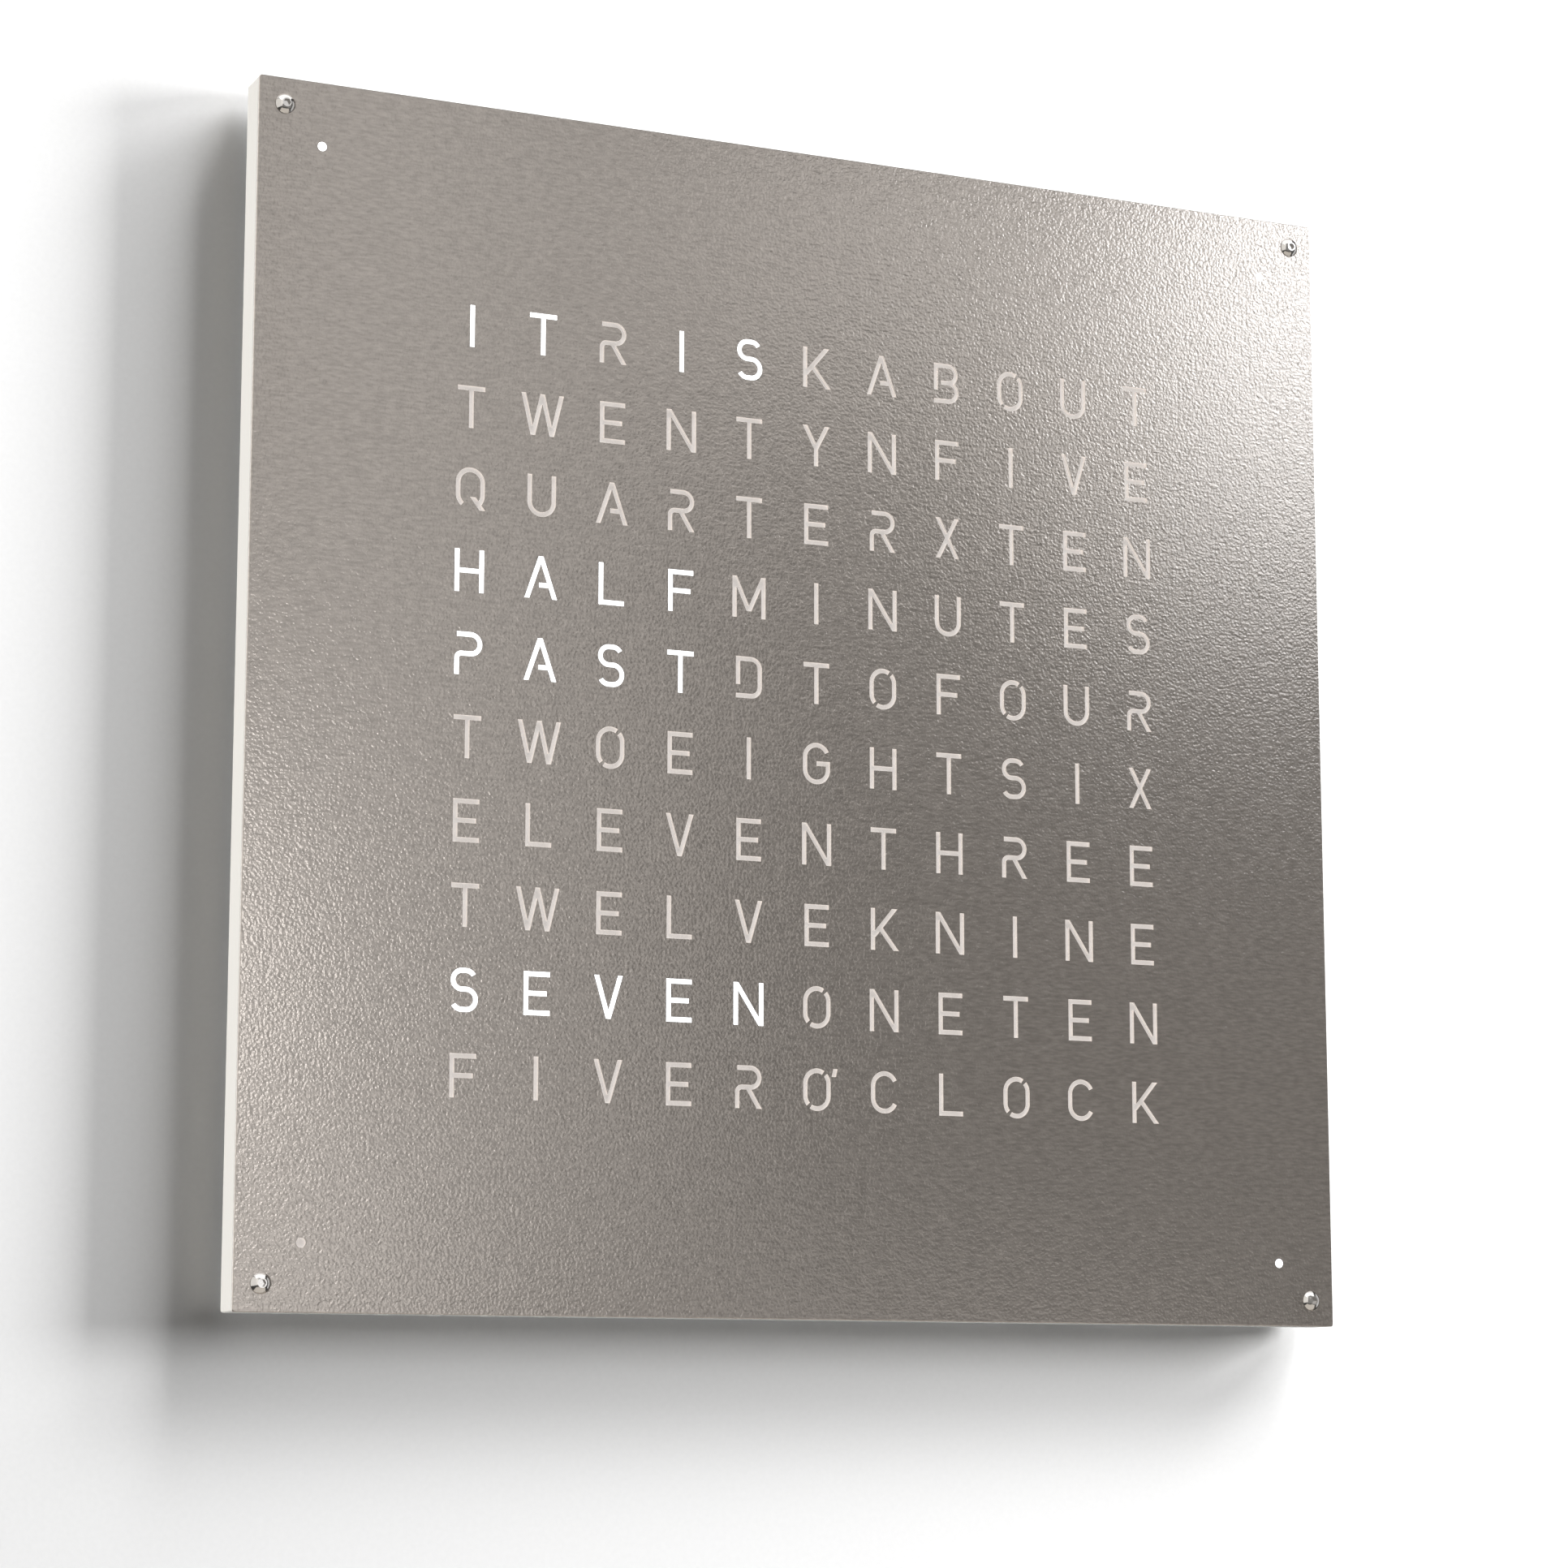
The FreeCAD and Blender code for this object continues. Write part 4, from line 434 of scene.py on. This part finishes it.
def area_light(name, place, width, height, radiance, colour=(1, 1, 1)):
    """A rectangular soft lamp that faces the clock."""
    data = bpy.data.lights.new(name, "AREA")
    data.shape = "RECTANGLE"
    data.size = width
    data.size_y = height
    data.energy = radiance * math.pi * width * height
    data.color = colour
    lamp = bpy.data.objects.new(name, data)
    lamp.location = place
    lamp.rotation_euler = (-Vector(place)).to_track_quat("-Z", "Y").to_euler()
    lamp.visible_camera = False
    bpy.context.scene.collection.objects.link(lamp)
    return lamp


def light_only(lamp, target, state):
    """Lets a lamp light the target alone (INCLUDE), or everything else (EXCLUDE)."""
    receivers = bpy.data.collections.new(lamp.name + "_receivers")
    receivers.objects.link(target)
    receivers.collection_objects[0].light_linking.link_state = state
    lamp.light_linking.receiver_collection = receivers


def wall_lights(backdrop):
    """Windows at the right and a bright ceiling, for the soft shadow on the wall."""
    lamps = (
        area_light("low_window", (3.4, -1.2, 0.6), 0.8, 1.2, 66.0),
        area_light("high_window", (3.4, -1.2, 2.8), 0.8, 1.4, 46.0),
        area_light("high_ceiling", (1.2, -1.2, 4.3), 0.8, 1.2, 28.0),
        area_light("low_ceiling", (1.5, -1.2, 2.7), 1.4, 1.6, 18.0),
        area_light("room_light", (0.4, -1.2, 0.3), 0.8, 0.8, 1.25),
    )
    for lamp in lamps:
        lamp.visible_glossy = False
        light_only(lamp, backdrop, "INCLUDE")


def clock_lights(backdrop):
    """Soft light on every side of the clock, which its front doesn't mirror."""
    lamps = (
        area_light("left_fill", (-2.0, 0.25, 0.0), 1.0, 2.0, 5.0, (1.0, 0.975, 0.93)),
        area_light("right_fill", (2.0, -0.25, 0.3), 1.0, 2.0, 5.0),
        area_light("top_fill", (0.3, -0.25, 2.0), 2.0, 1.0, 6.0),
        area_light("bottom_fill", (0.0, -0.25, -2.0), 2.0, 1.0, 3.0),
        area_light("front_fill", (1.6, -2.4, 1.4), 1.0, 1.0, 1.0),
    )
    for lamp in lamps:
        lamp.visible_glossy = False
        light_only(lamp, backdrop, "EXCLUDE")
    back = area_light("back_fill", (0.8, 2.2, 0.8), 1.6, 1.6, 4.0)
    light_only(back, backdrop, "EXCLUDE")


def reflector(name, azimuth, elevation, width, height, radiance, colour=(1, 1, 1)):
    """A card that only shines in polished surfaces, by the angles in degrees that it spans."""
    around, up = math.radians(azimuth), math.radians(elevation)
    level = math.cos(up)
    way = Vector((math.sin(around) * level, -math.cos(around) * level, math.sin(up)))
    spans = [2 * CARD_DISTANCE * math.tan(math.radians(span / 2)) for span in (width, height)]
    card = area_light(name, way * CARD_DISTANCE, *spans, radiance, colour)
    card.visible_diffuse = False


def reflections():
    """What the brushed cover and the screws mirror: a dim room with bright windows round it."""
    reflector("room", 10, 8, 110, 90, 0.17, ROOM_TONE)
    reflector("left_room", -2, 14, 26, 44, 0.3)
    reflector("left_window", 8, 4, 6, 6, 3.0)
    reflector("left_floor", 11, -6, 10, 8, 0.68)
    reflector("left_strip", 14, 14, 6, 40, 0.5)
    reflector("middle_strip", 20, 14, 6, 40, 0.32)
    reflector("top_strip", 29, 22, 12, 6, 0.85)
    reflector("right_window_edge", 32, 16, 6, 6, 0.7)
    reflector("right_window_low", 38, 16, 6, 6, 2.1, DAYLIGHT)
    reflector("right_window_high", 38, 22, 6, 6, 4.3, DAYLIGHT)
    reflector("floor_strip", 29, -8, 12, 6, 0.4)
    reflector("far_left_room", -70, 12, 70, 70, 0.75, (1.0, 0.97, 0.92))
    reflector("ceiling", 0, 75, 80, 50, 1.2)
    reflector("floor", 0, -70, 80, 50, 0.55, (1.0, 0.92, 0.82))
    reflector("right_room", 105, 0, 60, 70, 0.5)
    reflector("lit_wall", -155, 9, 50, 50, 1.25)


def world():
    """Faint light from all round, and a pale backdrop."""
    room = bpy.data.worlds.new("studio")
    bpy.context.scene.world = room
    room.use_nodes = True
    nodes = room.node_tree.nodes
    light = nodes["Background"]
    light.inputs["Color"].default_value = (*ROOM_TONE, 1.0)
    light.inputs["Strength"].default_value = WORLD_STRENGTH
    pale = nodes.new("ShaderNodeBackground")
    pale.inputs["Color"].default_value = (*BACKDROP_TONE, 1.0)
    path = nodes.new("ShaderNodeLightPath")
    mix = nodes.new("ShaderNodeMixShader")
    links = room.node_tree.links
    links.new(path.outputs["Is Camera Ray"], mix.inputs["Fac"])
    links.new(light.outputs["Background"], mix.inputs[1])
    links.new(pale.outputs["Background"], mix.inputs[2])
    links.new(mix.outputs["Shader"], nodes["World Output"].inputs["Surface"])


def camera():
    """Below the middle of the clock and to its left, looking up at it."""
    data = bpy.data.cameras.new("camera")
    data.sensor_width = SENSOR_WIDTH
    data.lens = FOCAL_LENGTH
    eye = bpy.data.objects.new("camera", data)
    eye.location = EYE
    eye.rotation_euler = (AIM - EYE).to_track_quat("-Z", "Y").to_euler()
    bpy.context.scene.collection.objects.link(eye)
    bpy.context.scene.camera = eye


dress_front()
dress_back()
dress_inside()
backdrop = wall()
wall_lights(backdrop)
clock_lights(backdrop)
reflections()
world()
camera()
bpy.context.scene.view_settings.view_transform = "Standard"
